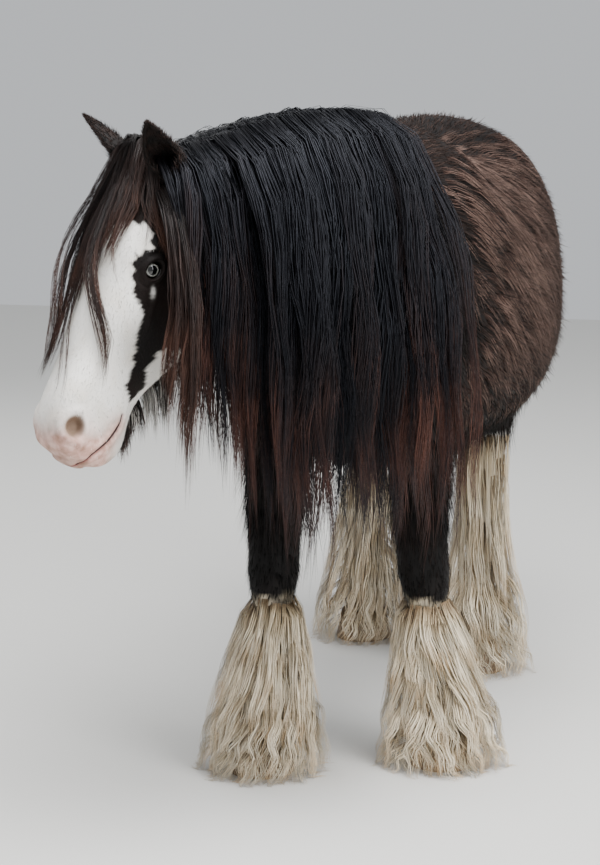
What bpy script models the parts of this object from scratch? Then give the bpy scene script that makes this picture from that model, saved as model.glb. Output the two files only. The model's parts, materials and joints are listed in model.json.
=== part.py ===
"""A gypsy vanner horse, life size, standing with its neck bent and its head lowered to its right.

Metres, +Z up. The horse faces -Y and its left side is +X. The stance is laid out from a point on the
floor between the forefeet, and at the end everything moves so that the origin is the middle of the
floor under the whole horse.
"""

import math
import random
from collections import namedtuple

import bmesh
import bpy
import numpy as np
from mathutils import Matrix, Vector
from mathutils.bvhtree import BVHTree

# Driving dimensions
WITHERS_HEIGHT = 1.425
HEAD_LENGTH = 0.60
EAR_LENGTH = 0.142
EYE_RADIUS = 0.0215
HOOF_HEIGHT = 0.0775
KNEE_CUT = 0.385
GAP = 0.0006
CLEAR = 0.0007
HAIR_CLEAR = 0.00035
SURFACE_CELL = 0.020
BODY_TRIANGLES = 2300

# The trunk from breast to buttock: place along the body, top, bottom, half width, height of the widest line
TRUNK = (
    (-0.285, 1.100, 0.900, 0.070, 1.00),
    (-0.255, 1.170, 0.830, 0.155, 1.00),
    (-0.190, 1.250, 0.760, 0.215, 1.00),
    (-0.080, 1.340, 0.700, 0.255, 1.01),
    (0.060, 1.405, 0.675, 0.285, 1.00),
    (0.200, WITHERS_HEIGHT, 0.650, 0.320, 0.97),
    (0.380, 1.380, 0.635, 0.355, 0.93),
    (0.580, 1.355, 0.630, 0.374, 0.93),
    (0.760, 1.375, 0.660, 0.366, 0.96),
    (0.920, 1.408, 0.725, 0.342, 1.02),
    (1.060, 1.398, 0.800, 0.310, 1.06),
    (1.180, 1.335, 0.870, 0.255, 1.07),
    (1.260, 1.240, 0.940, 0.168, 1.07),
    (1.295, 1.150, 1.000, 0.070, 1.08),
)
TRUNK_SQUARENESS = 2.2

# The neck from the shoulders to the poll: crest point, throat point, half width
NECK = (
    ((0.000, 0.240, 1.390), (0.000, -0.100, 0.800), 0.200),
    ((-0.010, 0.060, 1.425), (-0.010, -0.220, 0.900), 0.175),
    ((-0.070, -0.130, 1.442), (-0.060, -0.290, 0.990), 0.145),
    ((-0.170, -0.300, 1.432), (-0.150, -0.340, 1.070), 0.115),
    ((-0.265, -0.425, 1.396), (-0.220, -0.375, 1.135), 0.095),
    ((-0.312, -0.478, 1.362), (-0.262, -0.400, 1.180), 0.078),
)

# The head: place from poll to lips, then heights of the face line and of the jaw line, and half width
POLL = Vector((-0.326, -0.500, 1.362))
HEAD_TURN = math.radians(46)
HEAD_HANG = math.radians(26)
HEAD_TILT = math.radians(-3)
HEAD = (
    (-0.010, -0.045, -0.125, 0.040),
    (0.015, -0.012, -0.170, 0.068),
    (0.055, 0.002, -0.222, 0.086),
    (0.110, 0.012, -0.266, 0.098),
    (0.170, 0.016, -0.288, 0.106),
    (0.235, 0.013, -0.284, 0.102),
    (0.305, 0.006, -0.254, 0.088),
    (0.375, 0.000, -0.218, 0.073),
    (0.440, -0.004, -0.190, 0.064),
    (0.500, -0.006, -0.184, 0.064),
    (0.548, -0.016, -0.181, 0.066),
    (0.584, -0.040, -0.166, 0.056),
    (HEAD_LENGTH, -0.076, -0.134, 0.032),
)
HEAD_WIDEST = 0.34
HEAD_SQUARENESS = 2.35

EYE_AT = (0.201, -0.058, 0.086)
NOSTRIL_AT = (0.545, -0.058, 0.058)
EAR_AT = (0.018, -0.036, 0.072)

# Each leg: side (+1 left), foot place, where its top is rooted
Leg = namedtuple("Leg", "name side foot top hind")
LEGS = (
    Leg("foreleg_left", 1, (0.190, 0.062), (0.140, 0.010), False),
    Leg("foreleg_right", -1, (-0.190, -0.073), (-0.175, -0.005), False),
    Leg("hindleg_left", 1, (0.150, 0.870), (0.165, 0.985), True),
    Leg("hindleg_right", -1, (-0.195, 1.125), (-0.165, 0.995), True),
)
# Height, share of the way from foot to top, push to the rear, half width, half depth
FORELEG_UPPER = (
    (1.120, 1.00, 0.030, 0.095, 0.150),
    (0.960, 1.00, 0.020, 0.112, 0.160),
    (0.830, 1.00, 0.010, 0.098, 0.132),
    (0.710, 1.00, 0.000, 0.078, 0.102),
    (0.600, 0.95, -0.004, 0.068, 0.082),
    (0.510, 0.88, -0.004, 0.062, 0.070),
    (0.440, 0.80, 0.000, 0.063, 0.067),
    (0.400, 0.74, 0.002, 0.056, 0.061),
    (KNEE_CUT - 0.03, 0.66, 0.002, 0.045, 0.053),
)
HINDLEG_UPPER = (
    (1.180, 1.00, 0.000, 0.115, 0.190),
    (1.020, 1.00, 0.000, 0.135, 0.205),
    (0.880, 0.95, -0.010, 0.125, 0.185),
    (0.760, 0.72, 0.000, 0.100, 0.145),
    (0.640, 0.40, 0.022, 0.073, 0.098),
    (0.540, 0.16, 0.040, 0.055, 0.075),
    (0.470, 0.05, 0.046, 0.055, 0.076),
    (0.410, 0.00, 0.040, 0.047, 0.062),
    (KNEE_CUT - 0.03, 0.00, 0.034, 0.043, 0.056),
)
# The cannon, fetlock and pastern: height, share of the way to the top, push to the rear, half width, half depth
FORELEG_LOWER = (
    (KNEE_CUT, 0.71, 0.002, 0.049, 0.056),
    (0.320, 0.56, 0.004, 0.042, 0.051),
    (0.240, 0.36, 0.006, 0.040, 0.050),
    (0.170, 0.20, 0.010, 0.047, 0.058),
    (0.120, 0.08, 0.004, 0.046, 0.054),
    (HOOF_HEIGHT, 0.00, 0.000, 0.056, 0.060),
)
HINDLEG_LOWER = (
    (KNEE_CUT, 0.00, 0.037, 0.046, 0.060),
    (0.320, 0.00, 0.028, 0.041, 0.054),
    (0.240, 0.00, 0.020, 0.040, 0.051),
    (0.170, 0.00, 0.018, 0.047, 0.058),
    (0.120, 0.00, 0.006, 0.046, 0.054),
    (HOOF_HEIGHT, 0.00, 0.000, 0.056, 0.060),
)
HOOF_TOP_RADIUS = 0.061
HOOF_SOLE_RADIUS = 0.076

# Where the trunk is parted, and the planes that part the neck: a point and the way to the head
SHOULDER_CUT = 0.360
LOIN_CUT = 0.780
NECK_BASE = (Vector((0.0, 0.235, 1.42)), Vector((0.0, -0.75, 0.66)))
NECK_MIDDLE = (Vector((-0.085, -0.145, 1.42)), Vector((-0.45, -0.86, 0.22)))

# Feather: height against the radius of the hair bell and of its core round each lower leg
FEATHER = (
    (KNEE_CUT - GAP, 0.056, 0.050),
    (0.300, 0.074, 0.054),
    (0.200, 0.100, 0.062),
    (0.110, 0.122, 0.076),
    (0.040, 0.135, 0.087),
    (0.008, 0.133, 0.087),
)
CORE_FOOT = 0.030
# Tiers of feather: locks in the tier, height of roots, height of tips, width
FEATHER_TIERS = ((7, 0.350, 0.090, 0.072), (10, 0.225, 0.004, 0.096))
FEATHER_INSETS = (0.004, 0.016, 0.030)

# The head's fullness: place along, height, width, spread and push of each smooth swelling
SWELLINGS = (
    (0.185, -0.030, 0.100, 0.034, 0.008),
    (0.195, -0.105, 0.100, 0.030, -0.004),
    (0.150, -0.190, 0.095, 0.060, 0.008),
    (0.300, -0.085, 0.085, 0.030, 0.005),
    (0.380, -0.110, 0.070, 0.045, -0.006),
    (0.540, -0.058, 0.058, 0.026, 0.008),
    (0.585, -0.100, 0.025, 0.022, 0.006),
    (0.550, -0.170, 0.000, 0.030, 0.006),
    (0.492, -0.140, 0.058, 0.018, 0.003),
    (0.545, -0.178, 0.000, 0.036, 0.006),
    (0.520, -0.165, 0.035, 0.026, 0.004),
    (0.590, -0.050, 0.035, 0.022, 0.007),
)
# The forelock and the hair before the ears: root along and across the poll, sideways heading and length
FORELOCK = (
    (0.010, -0.062, -0.90, 0.36),
    (0.020, -0.048, -0.75, 0.43),
    (0.028, -0.034, -0.50, 0.47),
    (0.034, -0.020, -0.40, 0.42),
    (0.036, -0.006, -0.22, 0.35),
    (0.034, 0.008, -0.30, 0.46),
    (0.034, 0.020, 0.10, 0.25),
    (0.028, 0.032, 0.75, 0.36),
    (0.022, 0.044, 0.95, 0.47),
    (0.010, 0.056, 1.30, 0.50),
    (0.000, 0.050, 1.60, 0.44),
)
FORELOCK_LOCK = (0.036, 0.007)
# The beard under the chin: place along, across, length
BEARD = ((0.475, 0.020, 0.10), (0.500, -0.018, 0.09), (0.520, 0.012, 0.07), (0.440, -0.008, 0.10), (0.400, 0.016, 0.08))

# The ear: share of its length, half width, half depth
EAR = (
    (-0.30, 0.026, 0.022),
    (0.00, 0.032, 0.024),
    (0.16, 0.036, 0.022),
    (0.34, 0.035, 0.019),
    (0.52, 0.031, 0.016),
    (0.70, 0.024, 0.012),
    (0.85, 0.015, 0.008),
    (0.95, 0.007, 0.004),
)
MOUTH_LINE = ((0.490, -0.140), (0.525, -0.146), (0.560, -0.138), (0.640, -0.116))
MOUTH_GAPE = 0.0035
MOUTH_DEPTH = 0.007

# The tail from dock to tip: centre line, half width, half depth of the hair
TAIL = (
    ((0.0, 1.225, 1.270), 0.035, 0.035),
    ((0.0, 1.300, 1.240), 0.048, 0.045),
    ((0.0, 1.345, 1.130), 0.065, 0.052),
    ((0.005, 1.365, 0.950), 0.082, 0.058),
    ((0.010, 1.370, 0.740), 0.092, 0.060),
    ((0.015, 1.365, 0.500), 0.088, 0.056),
    ((0.018, 1.360, 0.300), 0.064, 0.042),
    ((0.020, 1.355, 0.150), 0.030, 0.022),
)
TAIL_TIERS = ((5, 0.05, 0.66, 1.00), (5, 0.22, 0.92, 0.78), (3, 0.40, 1.00, 0.55))

# The mane on each side: locks, longest and shortest fall by place along the crest from poll to withers
MANE = (
    (1, 22, (0.62, 0.84, 0.93, 0.90, 0.80)),
    (-1, 9, (0.46, 0.62, 0.68, 0.62, 0.55)),
)
MANE_REACH = (0.10, 0.83)
MANE_LOCK = (0.074, 0.009)
MANE_LIFTS = (0.017, 0.033)

Material = namedtuple("Material", "name colour roughness")
COAT_BLACK = Material("black_brown_coat", (0.020, 0.013, 0.010), 0.62)
COAT_WHITE = Material("white_face", (0.72, 0.66, 0.60), 0.65)
MANE_BLACK = Material("black_mane", (0.012, 0.009, 0.009), 0.50)
FEATHER_CREAM = Material("cream_feather", (0.48, 0.38, 0.27), 0.60)
HOOF_HORN = Material("hoof_horn", (0.30, 0.24, 0.17), 0.45)
EYE_DARK = Material("dark_eye", (0.010, 0.007, 0.005), 0.12)


def clear_scene():
    for obj in list(bpy.data.objects):
        bpy.data.objects.remove(obj)


def collection(name):
    made = bpy.data.collections.new(name)
    bpy.context.scene.collection.children.link(made)
    return made


def shader(kind):
    """The named material, made once: a Principled surface of the part's own colour."""
    found = bpy.data.materials.get(kind.name)
    if found:
        return found
    made = bpy.data.materials.new(kind.name)
    made.use_nodes = True
    principled = made.node_tree.nodes["Principled BSDF"]
    principled.inputs["Base Color"].default_value = (*kind.colour, 1.0)
    principled.inputs["Roughness"].default_value = kind.roughness
    return made


def mesh_object(name, verts, faces, kind, home):
    mesh = bpy.data.meshes.new(name)
    mesh.from_pydata([tuple(v) for v in verts], [], faces)
    mesh.update()
    obj = bpy.data.objects.new(name, mesh)
    mesh.materials.append(shader(kind))
    home.objects.link(obj)
    return obj


def smooth_rows(rows, count):
    """Rows at even steps along a smooth curve through the given ones (Catmull-Rom)."""
    rows = np.asarray(rows, float)
    ends = np.vstack([2 * rows[0] - rows[1], rows, 2 * rows[-1] - rows[-2]])
    at = np.linspace(0, len(rows) - 1, count)
    k = np.minimum(at.astype(int), len(rows) - 2)
    t = (at - k)[:, None]
    a, b, c, d = (ends[k + i] for i in range(4))
    return 0.5 * (2 * b + (c - a) * t + (2 * a - 5 * b + 4 * c - d) * t**2 + (3 * b - a - 3 * c + d) * t**3)


def ring_points(row, squareness, sides):
    """One section: a superellipse about its centre, taller above or below as the row says."""
    centre, lateral, up = row[0:3], row[3:6], row[6:9]
    half_width, rise, drop = row[9:12]
    angle = np.arange(sides) * 2 * math.pi / sides
    power = 2 / squareness
    across = half_width * np.sign(np.cos(angle)) * np.abs(np.cos(angle)) ** power
    height = np.sign(np.sin(angle)) * np.abs(np.sin(angle)) ** power
    height = height * np.where(height > 0, rise, drop)
    return centre + np.outer(across, lateral) + np.outer(height, up)


def loft(name, rows, squareness, sides, kind, home):
    """A closed skin over a row of sections, each end filled by a fan from its centre."""
    verts = []
    for row in rows:
        verts.extend(ring_points(row, squareness, sides))
    faces = []
    for r in range(len(rows) - 1):
        for k in range(sides):
            n = (k + 1) % sides
            faces.append((r * sides + k, r * sides + n, (r + 1) * sides + n, (r + 1) * sides + k))
    for ring, order in ((0, -1), (len(rows) - 1, 1)):
        verts.append(np.mean(verts[ring * sides : (ring + 1) * sides], axis=0))
        for k in range(sides):
            face = (len(verts) - 1, ring * sides + k, ring * sides + (k + 1) % sides)
            faces.append(face[::order])
    obj = mesh_object(name, verts, faces, kind, home)
    face_out(obj)
    return obj


def face_out(obj):
    """Turns every face of a closed mesh outwards."""
    work = bmesh.new()
    work.from_mesh(obj.data)
    bmesh.ops.recalc_face_normals(work, faces=work.faces)
    if work.calc_volume(signed=True) < 0:
        bmesh.ops.reverse_faces(work, faces=work.faces)
    work.to_mesh(obj.data)
    work.free()


def section(centre, lateral, up, half_width, rise, drop):
    return np.array([*centre, *lateral, *up, half_width, rise, drop])


def trunk_rows():
    rows = []
    for place, top, bottom, half_width, widest in TRUNK:
        rows.append(section((0, place, widest), (1, 0, 0), (0, 0, 1), half_width, top - widest, widest - bottom))
    return rows


def neck_rows():
    rows = []
    for crest, throat, half_width in NECK:
        crest, throat = Vector(crest), Vector(throat)
        up = (crest - throat).normalized()
        along = Vector((-0.42, -0.90, -0.05))
        lateral = up.cross(along).normalized()
        half = (crest - throat).length / 2
        rows.append(section((crest + throat) / 2, lateral, up, half_width, half, half))
    return rows


def head_axes():
    """The head's own directions: from poll to lips, from jaw to face, and to its left."""
    heading = Vector((-math.sin(HEAD_TURN), -math.cos(HEAD_TURN), 0))
    up = Vector((0, 0, 1))
    along = math.sin(HEAD_HANG) * heading - math.cos(HEAD_HANG) * up
    face = math.cos(HEAD_HANG) * heading + math.sin(HEAD_HANG) * up
    left = up.cross(heading)
    tilted_left = math.cos(HEAD_TILT) * left + math.sin(HEAD_TILT) * face
    tilted_face = math.cos(HEAD_TILT) * face - math.sin(HEAD_TILT) * left
    return along, tilted_face, tilted_left


def on_head(along, face, left):
    """A point given in the head's own measures."""
    a, f, s = head_axes()
    return POLL + a * along + f * face + s * left


def head_rows():
    a, f, s = head_axes()
    rows = []
    for place, top, bottom, half_width in HEAD:
        widest = top + (bottom - top) * HEAD_WIDEST
        rows.append(section(POLL + a * place + f * widest, s, f, half_width, top - widest, widest - bottom))
    return rows


def leg_row(centre, half_width, half_depth):
    return section(centre, (1, 0, 0), (0, 1, 0), half_width, half_depth, half_depth)


def leg_upper_rows(leg):
    foot, top = Vector(leg.foot), Vector(leg.top)
    rows = []
    for height, share, rear, half_width, half_depth in HINDLEG_UPPER if leg.hind else FORELEG_UPPER:
        x, y = foot.lerp(top, share)
        rows.append(leg_row((x, y + rear, height), half_width, half_depth))
    return rows


def apply_modifiers(obj):
    graph = bpy.context.evaluated_depsgraph_get()
    mesh = bpy.data.meshes.new_from_object(obj.evaluated_get(graph))
    obj.modifiers.clear()
    obj.data = mesh
    return obj


def boolean(obj, operation, other, solver="EXACT"):
    """One Boolean with an object or with a whole collection, applied at once."""
    modifier = obj.modifiers.new(operation.lower(), "BOOLEAN")
    modifier.operation = operation
    modifier.solver = solver
    if isinstance(other, bpy.types.Collection):
        modifier.operand_type = "COLLECTION"
        modifier.collection = other
    else:
        modifier.object = other
    return apply_modifiers(obj)


def copy_of(obj, name, home):
    made = obj.copy()
    made.data = obj.data.copy()
    made.name = name
    home.objects.link(made)
    return made


def inflated(obj, by, home):
    """A helper copy of a closed mesh whose points stand out along their normals."""
    made = copy_of(obj, obj.name + "_grown", home)
    for vertex, normal in zip(made.data.vertices, [v.normal.copy() for v in made.data.vertices]):
        vertex.co += normal * by
    return made


def remove(*objects):
    for obj in objects:
        bpy.data.objects.remove(obj)


def keep_largest(obj):
    """Keeps the largest closed surface of a mesh, which drops loose scraps and sealed hollows."""
    work = bmesh.new()
    work.from_mesh(obj.data)
    left = set(work.faces)
    shells = []
    while left:
        stack = [left.pop()]
        shell = set(stack)
        while stack:
            for edge in stack.pop().edges:
                for face in edge.link_faces:
                    if face not in shell:
                        shell.add(face)
                        stack.append(face)
        left -= shell
        shells.append(shell)
    if len(shells) > 1:
        largest = max(shells, key=len)
        bmesh.ops.delete(work, geom=[f for f in work.faces if f not in largest], context="FACES")
    work.to_mesh(obj.data)
    work.free()
    return obj


def half_space(point, normal, home):
    """A helper block, far larger than the horse, that starts at a plane and fills the normal's side."""
    normal = normal.normalized()
    one = normal.orthogonal().normalized() * 3
    two = normal.cross(one)
    flat = [point + one * i + two * j for i, j in ((-1, -1), (1, -1), (1, 1), (-1, 1))]
    return tube("half_space", [flat, [corner + normal * 3 for corner in flat]], COAT_BLACK, home)


def halve(obj, point, normal, name, home):
    """Cuts a closed mesh by a plane and returns the piece on the normal's side; obj keeps the rest."""
    other = copy_of(obj, name, home)
    step = normal.normalized() * GAP / 2
    for piece, operation, place in ((obj, "DIFFERENCE", point - step), (other, "INTERSECT", point + step)):
        block = half_space(place, normal, home)
        boolean(piece, operation, block, "MANIFOLD")
        remove(block)
    return other


def prism(name, outline, low_x, high_x, home):
    """A helper block: an outline in side view, given as (y, z) points, between two widths."""
    verts = [(x, y, z) for x in (low_x, high_x) for y, z in outline]
    n = len(outline)
    faces = [tuple(range(n)), tuple(range(2 * n - 1, n - 1, -1))]
    faces += [(k, (k + 1) % n, n + (k + 1) % n, n + k) for k in range(n)]
    obj = mesh_object(name, verts, faces, COAT_BLACK, home)
    face_out(obj)
    return obj


def whole_body(home):
    """Trunk, neck and upper legs blended into one closed skin."""
    blend = collection("blend")
    body = loft("body", smooth_rows(trunk_rows(), 40), TRUNK_SQUARENESS, 40, COAT_BLACK, home)
    loft("neck_form", smooth_rows(neck_rows(), 24), 2.1, 32, COAT_BLACK, blend)
    for leg in LEGS:
        loft(leg.name + "_form", smooth_rows(leg_upper_rows(leg), 26), 2.1, 24, COAT_BLACK, blend)
    boolean(body, "UNION", blend, "MANIFOLD")
    remove(*blend.objects)
    remesh = body.modifiers.new("even_cells", "REMESH")
    remesh.mode = "VOXEL"
    remesh.voxel_size = SURFACE_CELL
    relax = body.modifiers.new("soft_joins", "SMOOTH")
    relax.factor = 0.5
    relax.iterations = 7
    apply_modifiers(body)
    thin = body.modifiers.new("fewer_faces", "DECIMATE")
    thin.ratio = BODY_TRIANGLES / (2 * len(body.data.polygons))
    apply_modifiers(body)
    face_out(body)
    return body


def swell(points):
    """Pushes the head's points out from its middle line by the sum of the smooth swellings."""
    a, f, s = (np.array(v) for v in head_axes())
    own = points - np.array(POLL)
    own = np.stack([own @ a, own @ f, own @ s], 1)
    out = np.array([(0, -0.08, 0)]) * np.ones((len(own), 1))
    away = own - np.stack([own[:, 0], out[:, 1], out[:, 2]], 1)
    away /= np.linalg.norm(away, axis=1)[:, None] + 1e-9
    for along, face, left, spread, push in SWELLINGS:
        for side in (1, -1) if left else (1,):
            off = own - np.array((along, face, side * left))
            own = own + away * (push * np.exp(-(off**2).sum(1) / (2 * spread**2)))[:, None]
    return np.array(POLL) + own @ np.array([a, f, s])


def head_form(name, home, rings=22, sides=20):
    obj = loft(name, smooth_rows(head_rows(), rings), HEAD_SQUARENESS, sides, COAT_WHITE, home)
    points = np.array([v.co for v in obj.data.vertices])
    for vertex, point in zip(obj.data.vertices, swell(points)):
        vertex.co = point
    return obj


def ball(name, centre, radii, frame, kind, home, rings=10, sides=16):
    """A closed ellipsoid with its own three directions."""
    verts = [Vector((0, 0, 1))]
    for r in range(1, rings):
        t = math.pi * r / rings
        for k in range(sides):
            u = 2 * math.pi * k / sides
            verts.append(Vector((math.sin(t) * math.cos(u), math.sin(t) * math.sin(u), math.cos(t))))
    verts.append(Vector((0, 0, -1)))
    last = len(verts) - 1
    faces = [(0, 1 + k, 1 + (k + 1) % sides) for k in range(sides)]
    for r in range(rings - 2):
        for k in range(sides):
            a, b = 1 + r * sides + k, 1 + r * sides + (k + 1) % sides
            faces.append((a, a + sides, b + sides, b))
    base = 1 + (rings - 2) * sides
    faces += [(last, base + (k + 1) % sides, base + k) for k in range(sides)]
    placed = [centre + frame[0] * v.x * radii[0] + frame[1] * v.y * radii[1] + frame[2] * v.z * radii[2] for v in verts]
    obj = mesh_object(name, placed, faces, kind, home)
    face_out(obj)
    return obj


def tube(name, rings, kind, home, pointed=False):
    """A closed skin over rings of points; the last ring may run out into one point."""
    count = len(rings[0])
    verts = [v for ring in rings for v in ring]
    faces = []
    for r in range(len(rings) - 1):
        for k in range(count):
            n = (k + 1) % count
            faces.append((r * count + k, r * count + n, (r + 1) * count + n, (r + 1) * count + k))
    faces.append(tuple(range(count - 1, -1, -1)))
    last = (len(rings) - 1) * count
    if pointed is False:
        faces.append(tuple(range(last, last + count)))
    else:
        verts.append(pointed)
        faces += [(last + k, last + (k + 1) % count, len(verts) - 1) for k in range(count)]
    obj = mesh_object(name, verts, faces, kind, home)
    face_out(obj)
    return obj


def lock(name, path, normals, width, thickness, kind, home, blunt=0.0, bow=0.15):
    """A flat tapered lock of hair: a thin section, bowed round what it lies on, carried down a path to a point."""
    path = [Vector(p) for p in path]
    rings = []
    for k, (point, normal) in enumerate(zip(path[:-1], normals)):
        along = (path[k + 1] - path[max(k - 1, 0)]).normalized()
        across = along.cross(Vector(normal)).normalized()
        out = across.cross(along).normalized()
        t = k / (len(path) - 1)
        full = 0.14 + 2.7 * t - (2.6 - blunt) * t**2
        w, h = across * width / 2 * full, out * thickness / 2 * (1 - 0.40 * t)
        sag = out * (width / 2 * full) ** 2 / (2 * bow)
        rings.append([point + w - sag, point + h, point - w - sag, point - h])
    return tube(name, rings, kind, home, pointed=path[-1])


def surface_tree(*objects):
    """One search tree over the skins of several objects."""
    verts, faces = [], []
    for obj in objects:
        base = len(verts)
        verts += [v.co.copy() for v in obj.data.vertices]
        faces += [tuple(base + i for i in p.vertices) for p in obj.data.polygons]
    return BVHTree.FromPolygons(verts, faces)


def drape(tree, root, heading, length, clear, limp=0.30):
    """The line of hair that leaves a root, bends down under its own weight and lies on the skin."""
    step = length / 24
    at, way = Vector(root), Vector(heading).normalized()
    line = [at.copy()]
    for _ in range(24):
        way = (way * (1 - limp) + Vector((0, 0, -1)) * limp).normalized()
        ahead = at + way * step
        near, normal, _, _ = tree.find_nearest(ahead)
        if (ahead - near).dot(normal) < clear:
            ahead = near + normal * clear
        way = (ahead - at).normalized()
        at = ahead
        line.append(at.copy())
    path = [line[k] for k in (0, 2, 5, 9, 15, 24)]
    normals = []
    for point in path:
        near, normal, _, _ = tree.find_nearest(point)
        normals.append(normal.copy())
    return path, normals


def crest_point(tree, share):
    """A point on the crest of the neck, 0 at the poll and 1 at the withers, and the way along it."""
    tops = np.array([crest for crest, _, _ in reversed(NECK)])
    spots = smooth_rows(tops, 61)
    k = min(max(share, 0), 1) * 59
    low = int(k)
    x, y, _ = spots[low] + (spots[low + 1] - spots[low]) * (k - low)
    hit, _, _, _ = tree.ray_cast(Vector((x, y, 2.0)), Vector((0, 0, -1)))
    along = Vector(spots[low + 1] - spots[low]).normalized()
    return hit, along


def add_mane(necks, others, tree, home):
    """The mane, fused to the two lengths of neck: locks rooted on the crest that fall over both sides."""
    draw = random.Random(7)
    upper, lower = collection("mane_upper"), collection("mane_lower")
    for side, count, falls in MANE:
        for k in range(count):
            share = MANE_REACH[0] + (MANE_REACH[1] - MANE_REACH[0]) * (k + draw.uniform(0.35, 0.65)) / count
            root, along = crest_point(tree, share)
            outward = along.cross(Vector((0, 0, 1))).normalized()
            outward *= math.copysign(1, outward.x * side)
            heading = outward - along * (draw.uniform(-0.03, 0.08) + 0.20 * share**2)
            root = root + outward * 0.014
            length = float(np.interp(share, np.linspace(0, 1, len(falls)), falls)) * draw.uniform(0.86, 1.05)
            width = MANE_LOCK[0] * draw.uniform(0.95, 1.05) * (1 if side > 0 else 1.25)
            lift = MANE_LIFTS[k % 2] + draw.uniform(-0.0025, 0.0025) + (0.010 if share < 0.35 else 0)
            path, normals = drape(tree, root + Vector((0, 0, lift)), heading, length, lift)
            path.insert(0, root - Vector((0, 0, 0.028)) - outward * 0.006)
            normals.insert(0, Vector((0, 0, 1)))
            grows = upper if (root - NECK_MIDDLE[0]).dot(NECK_MIDDLE[1]) > 0 else lower
            lock(f"mane_{side}_{k}", path, normals, width, MANE_LOCK[1], MANE_BLACK, grows, 0.35)
    fuse_hair(necks[0], upper, others, home)
    fuse_hair(necks[1], lower, [*others, necks[0]], home)


def add_head_hair(head, others, tree, home):
    """Forelock, cheek hair and beard, fused to the head."""
    a, f, s = head_axes()
    hair = collection("head_hair")
    for k, (along, left, heading, length) in enumerate(FORELOCK):
        near, _, _, _ = tree.find_nearest(on_head(along, 0.01, left))
        lift = (0.010, 0.021)[k % 2] + 0.0004 * k
        path, normals = drape(tree, near + f * lift, f * 0.4 + a * 0.7 + s * heading, length, lift, 0.22)
        path.insert(0, near - f * 0.025 + a * 0.005)
        normals.insert(0, f)
        width, thickness = FORELOCK_LOCK
        lock(f"forelock_{k}", path, normals, width, thickness, MANE_BLACK, hair)
    for k, (along, left, length) in enumerate(BEARD):
        chin = on_head(along, -0.170, left)
        down = (Vector((0, 0, -1)) + s * left * 4 - f * 0.3).normalized()
        path = [chin + down * length * t for t in (-0.25, 0.0, 0.35, 0.7, 1.0)]
        lock(f"beard_{k}", path, [s] * 5, 0.030, 0.012, MANE_BLACK, hair)
    fuse_hair(head, hair, others, home)


def fuse_hair(obj, hair, others, home):
    """Unites locks with the node that they grow from, then cuts them clear of the other nodes."""
    boolean(obj, "UNION", hair, "MANIFOLD")
    remove(*hair.objects)
    for other in others:
        small = other.name.startswith("ear")
        cut_clear(obj, other, 4 * CLEAR if small else HAIR_CLEAR, home)
    keep_largest(obj)


def cut_clear(obj, other, by, home):
    """Takes another solid, grown by a clearance, out of this one."""
    wider = inflated(other, by, home)
    boolean(obj, "DIFFERENCE", wider, "MANIFOLD")
    remove(wider)
    return obj


def foot_rows(leg, table):
    """Sections down the lower leg from rows of height, half width and half depth."""
    lower = list(reversed(HINDLEG_LOWER if leg.hind else FORELEG_LOWER))
    heights = [row[0] for row in lower]
    foot, top = Vector(leg.foot), Vector(leg.top)
    rows = []
    for height, half_width, half_depth in table:
        x, y = foot.lerp(top, float(np.interp(height, heights, [row[1] for row in lower])))
        rear = float(np.interp(height, heights, [row[2] for row in lower]))
        rows.append(leg_row((x, y + rear, height), half_width, half_depth))
    return rows


def bell_radius(height, column=1):
    rows = list(reversed(FEATHER))
    return float(np.interp(height, [row[0] for row in rows], [row[column] for row in rows]))


def add_feather(leg, home):
    """Two tiers of long locks that leave the leg below the knee and spread over the hoof."""
    draw = random.Random(leg.name)
    hair = collection(leg.name + "_feather")
    for tier, (count, root, tip, width) in enumerate(FEATHER_TIERS):
        for k in range(count):
            angle = 2 * math.pi * (k + 0.5 * tier + draw.uniform(-0.05, 0.05)) / count
            high, low = root + draw.uniform(-0.02, 0.02), tip + (draw.uniform(0, 0.05) if tier == 0 else draw.uniform(0, 0.006))
            swing, phase = 0.10, leg.side + tier
            path, normals = [], []
            inset = FEATHER_INSETS[1 + k % 2 if tier else 0]
            for t in (0.0, 0.20, 0.50, 0.78, 1.0):
                z = high + (low - high) * t
                turn = angle + swing * math.sin(4.5 * t + phase)
                out = Vector((math.cos(turn), math.sin(turn), 0))
                radius = bell_radius(z) - inset if t else 0.75 * bell_radius(z, 2)
                middle = Vector(foot_rows(leg, [(z, 1, 1)])[0][0:3])
                path.append(middle + out * radius)
                normals.append(out + Vector((0, 0, 0.3)))
            lock(f"feather_{tier}_{k}", path, normals, width, 0.009, FEATHER_CREAM, hair, 0.9, 0.12)
    return hair


def add_lower_leg(leg, hoof, upper, home):
    """Cannon, fetlock and pastern in their feather, hollow over the hoof."""
    table = [(max(height, CORE_FOOT), core, core) for height, _, core in FEATHER]
    obj = loft(leg.name + "_lower", smooth_rows(foot_rows(leg, table), 7), 2.0, 14, FEATHER_CREAM, home)
    hair = add_feather(leg, home)
    boolean(obj, "UNION", hair, "MANIFOLD")
    remove(*hair.objects)
    for other in (hoof, upper):
        cut_clear(obj, other, CLEAR, home)
    return keep_largest(obj)


def add_hoof(leg, home):
    """A hoof: a cone on a flat sole, longer at the toe."""
    rows = []
    for height, radius, forward in ((0.0, HOOF_SOLE_RADIUS, 0.010), (HOOF_HEIGHT, HOOF_TOP_RADIUS, 0.0)):
        rows.append(leg_row((leg.foot[0], leg.foot[1] - forward, height), radius * 0.96, radius))
    return loft("hoof_" + leg.name, rows, 2.0, 20, HOOF_HORN, home)


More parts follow.
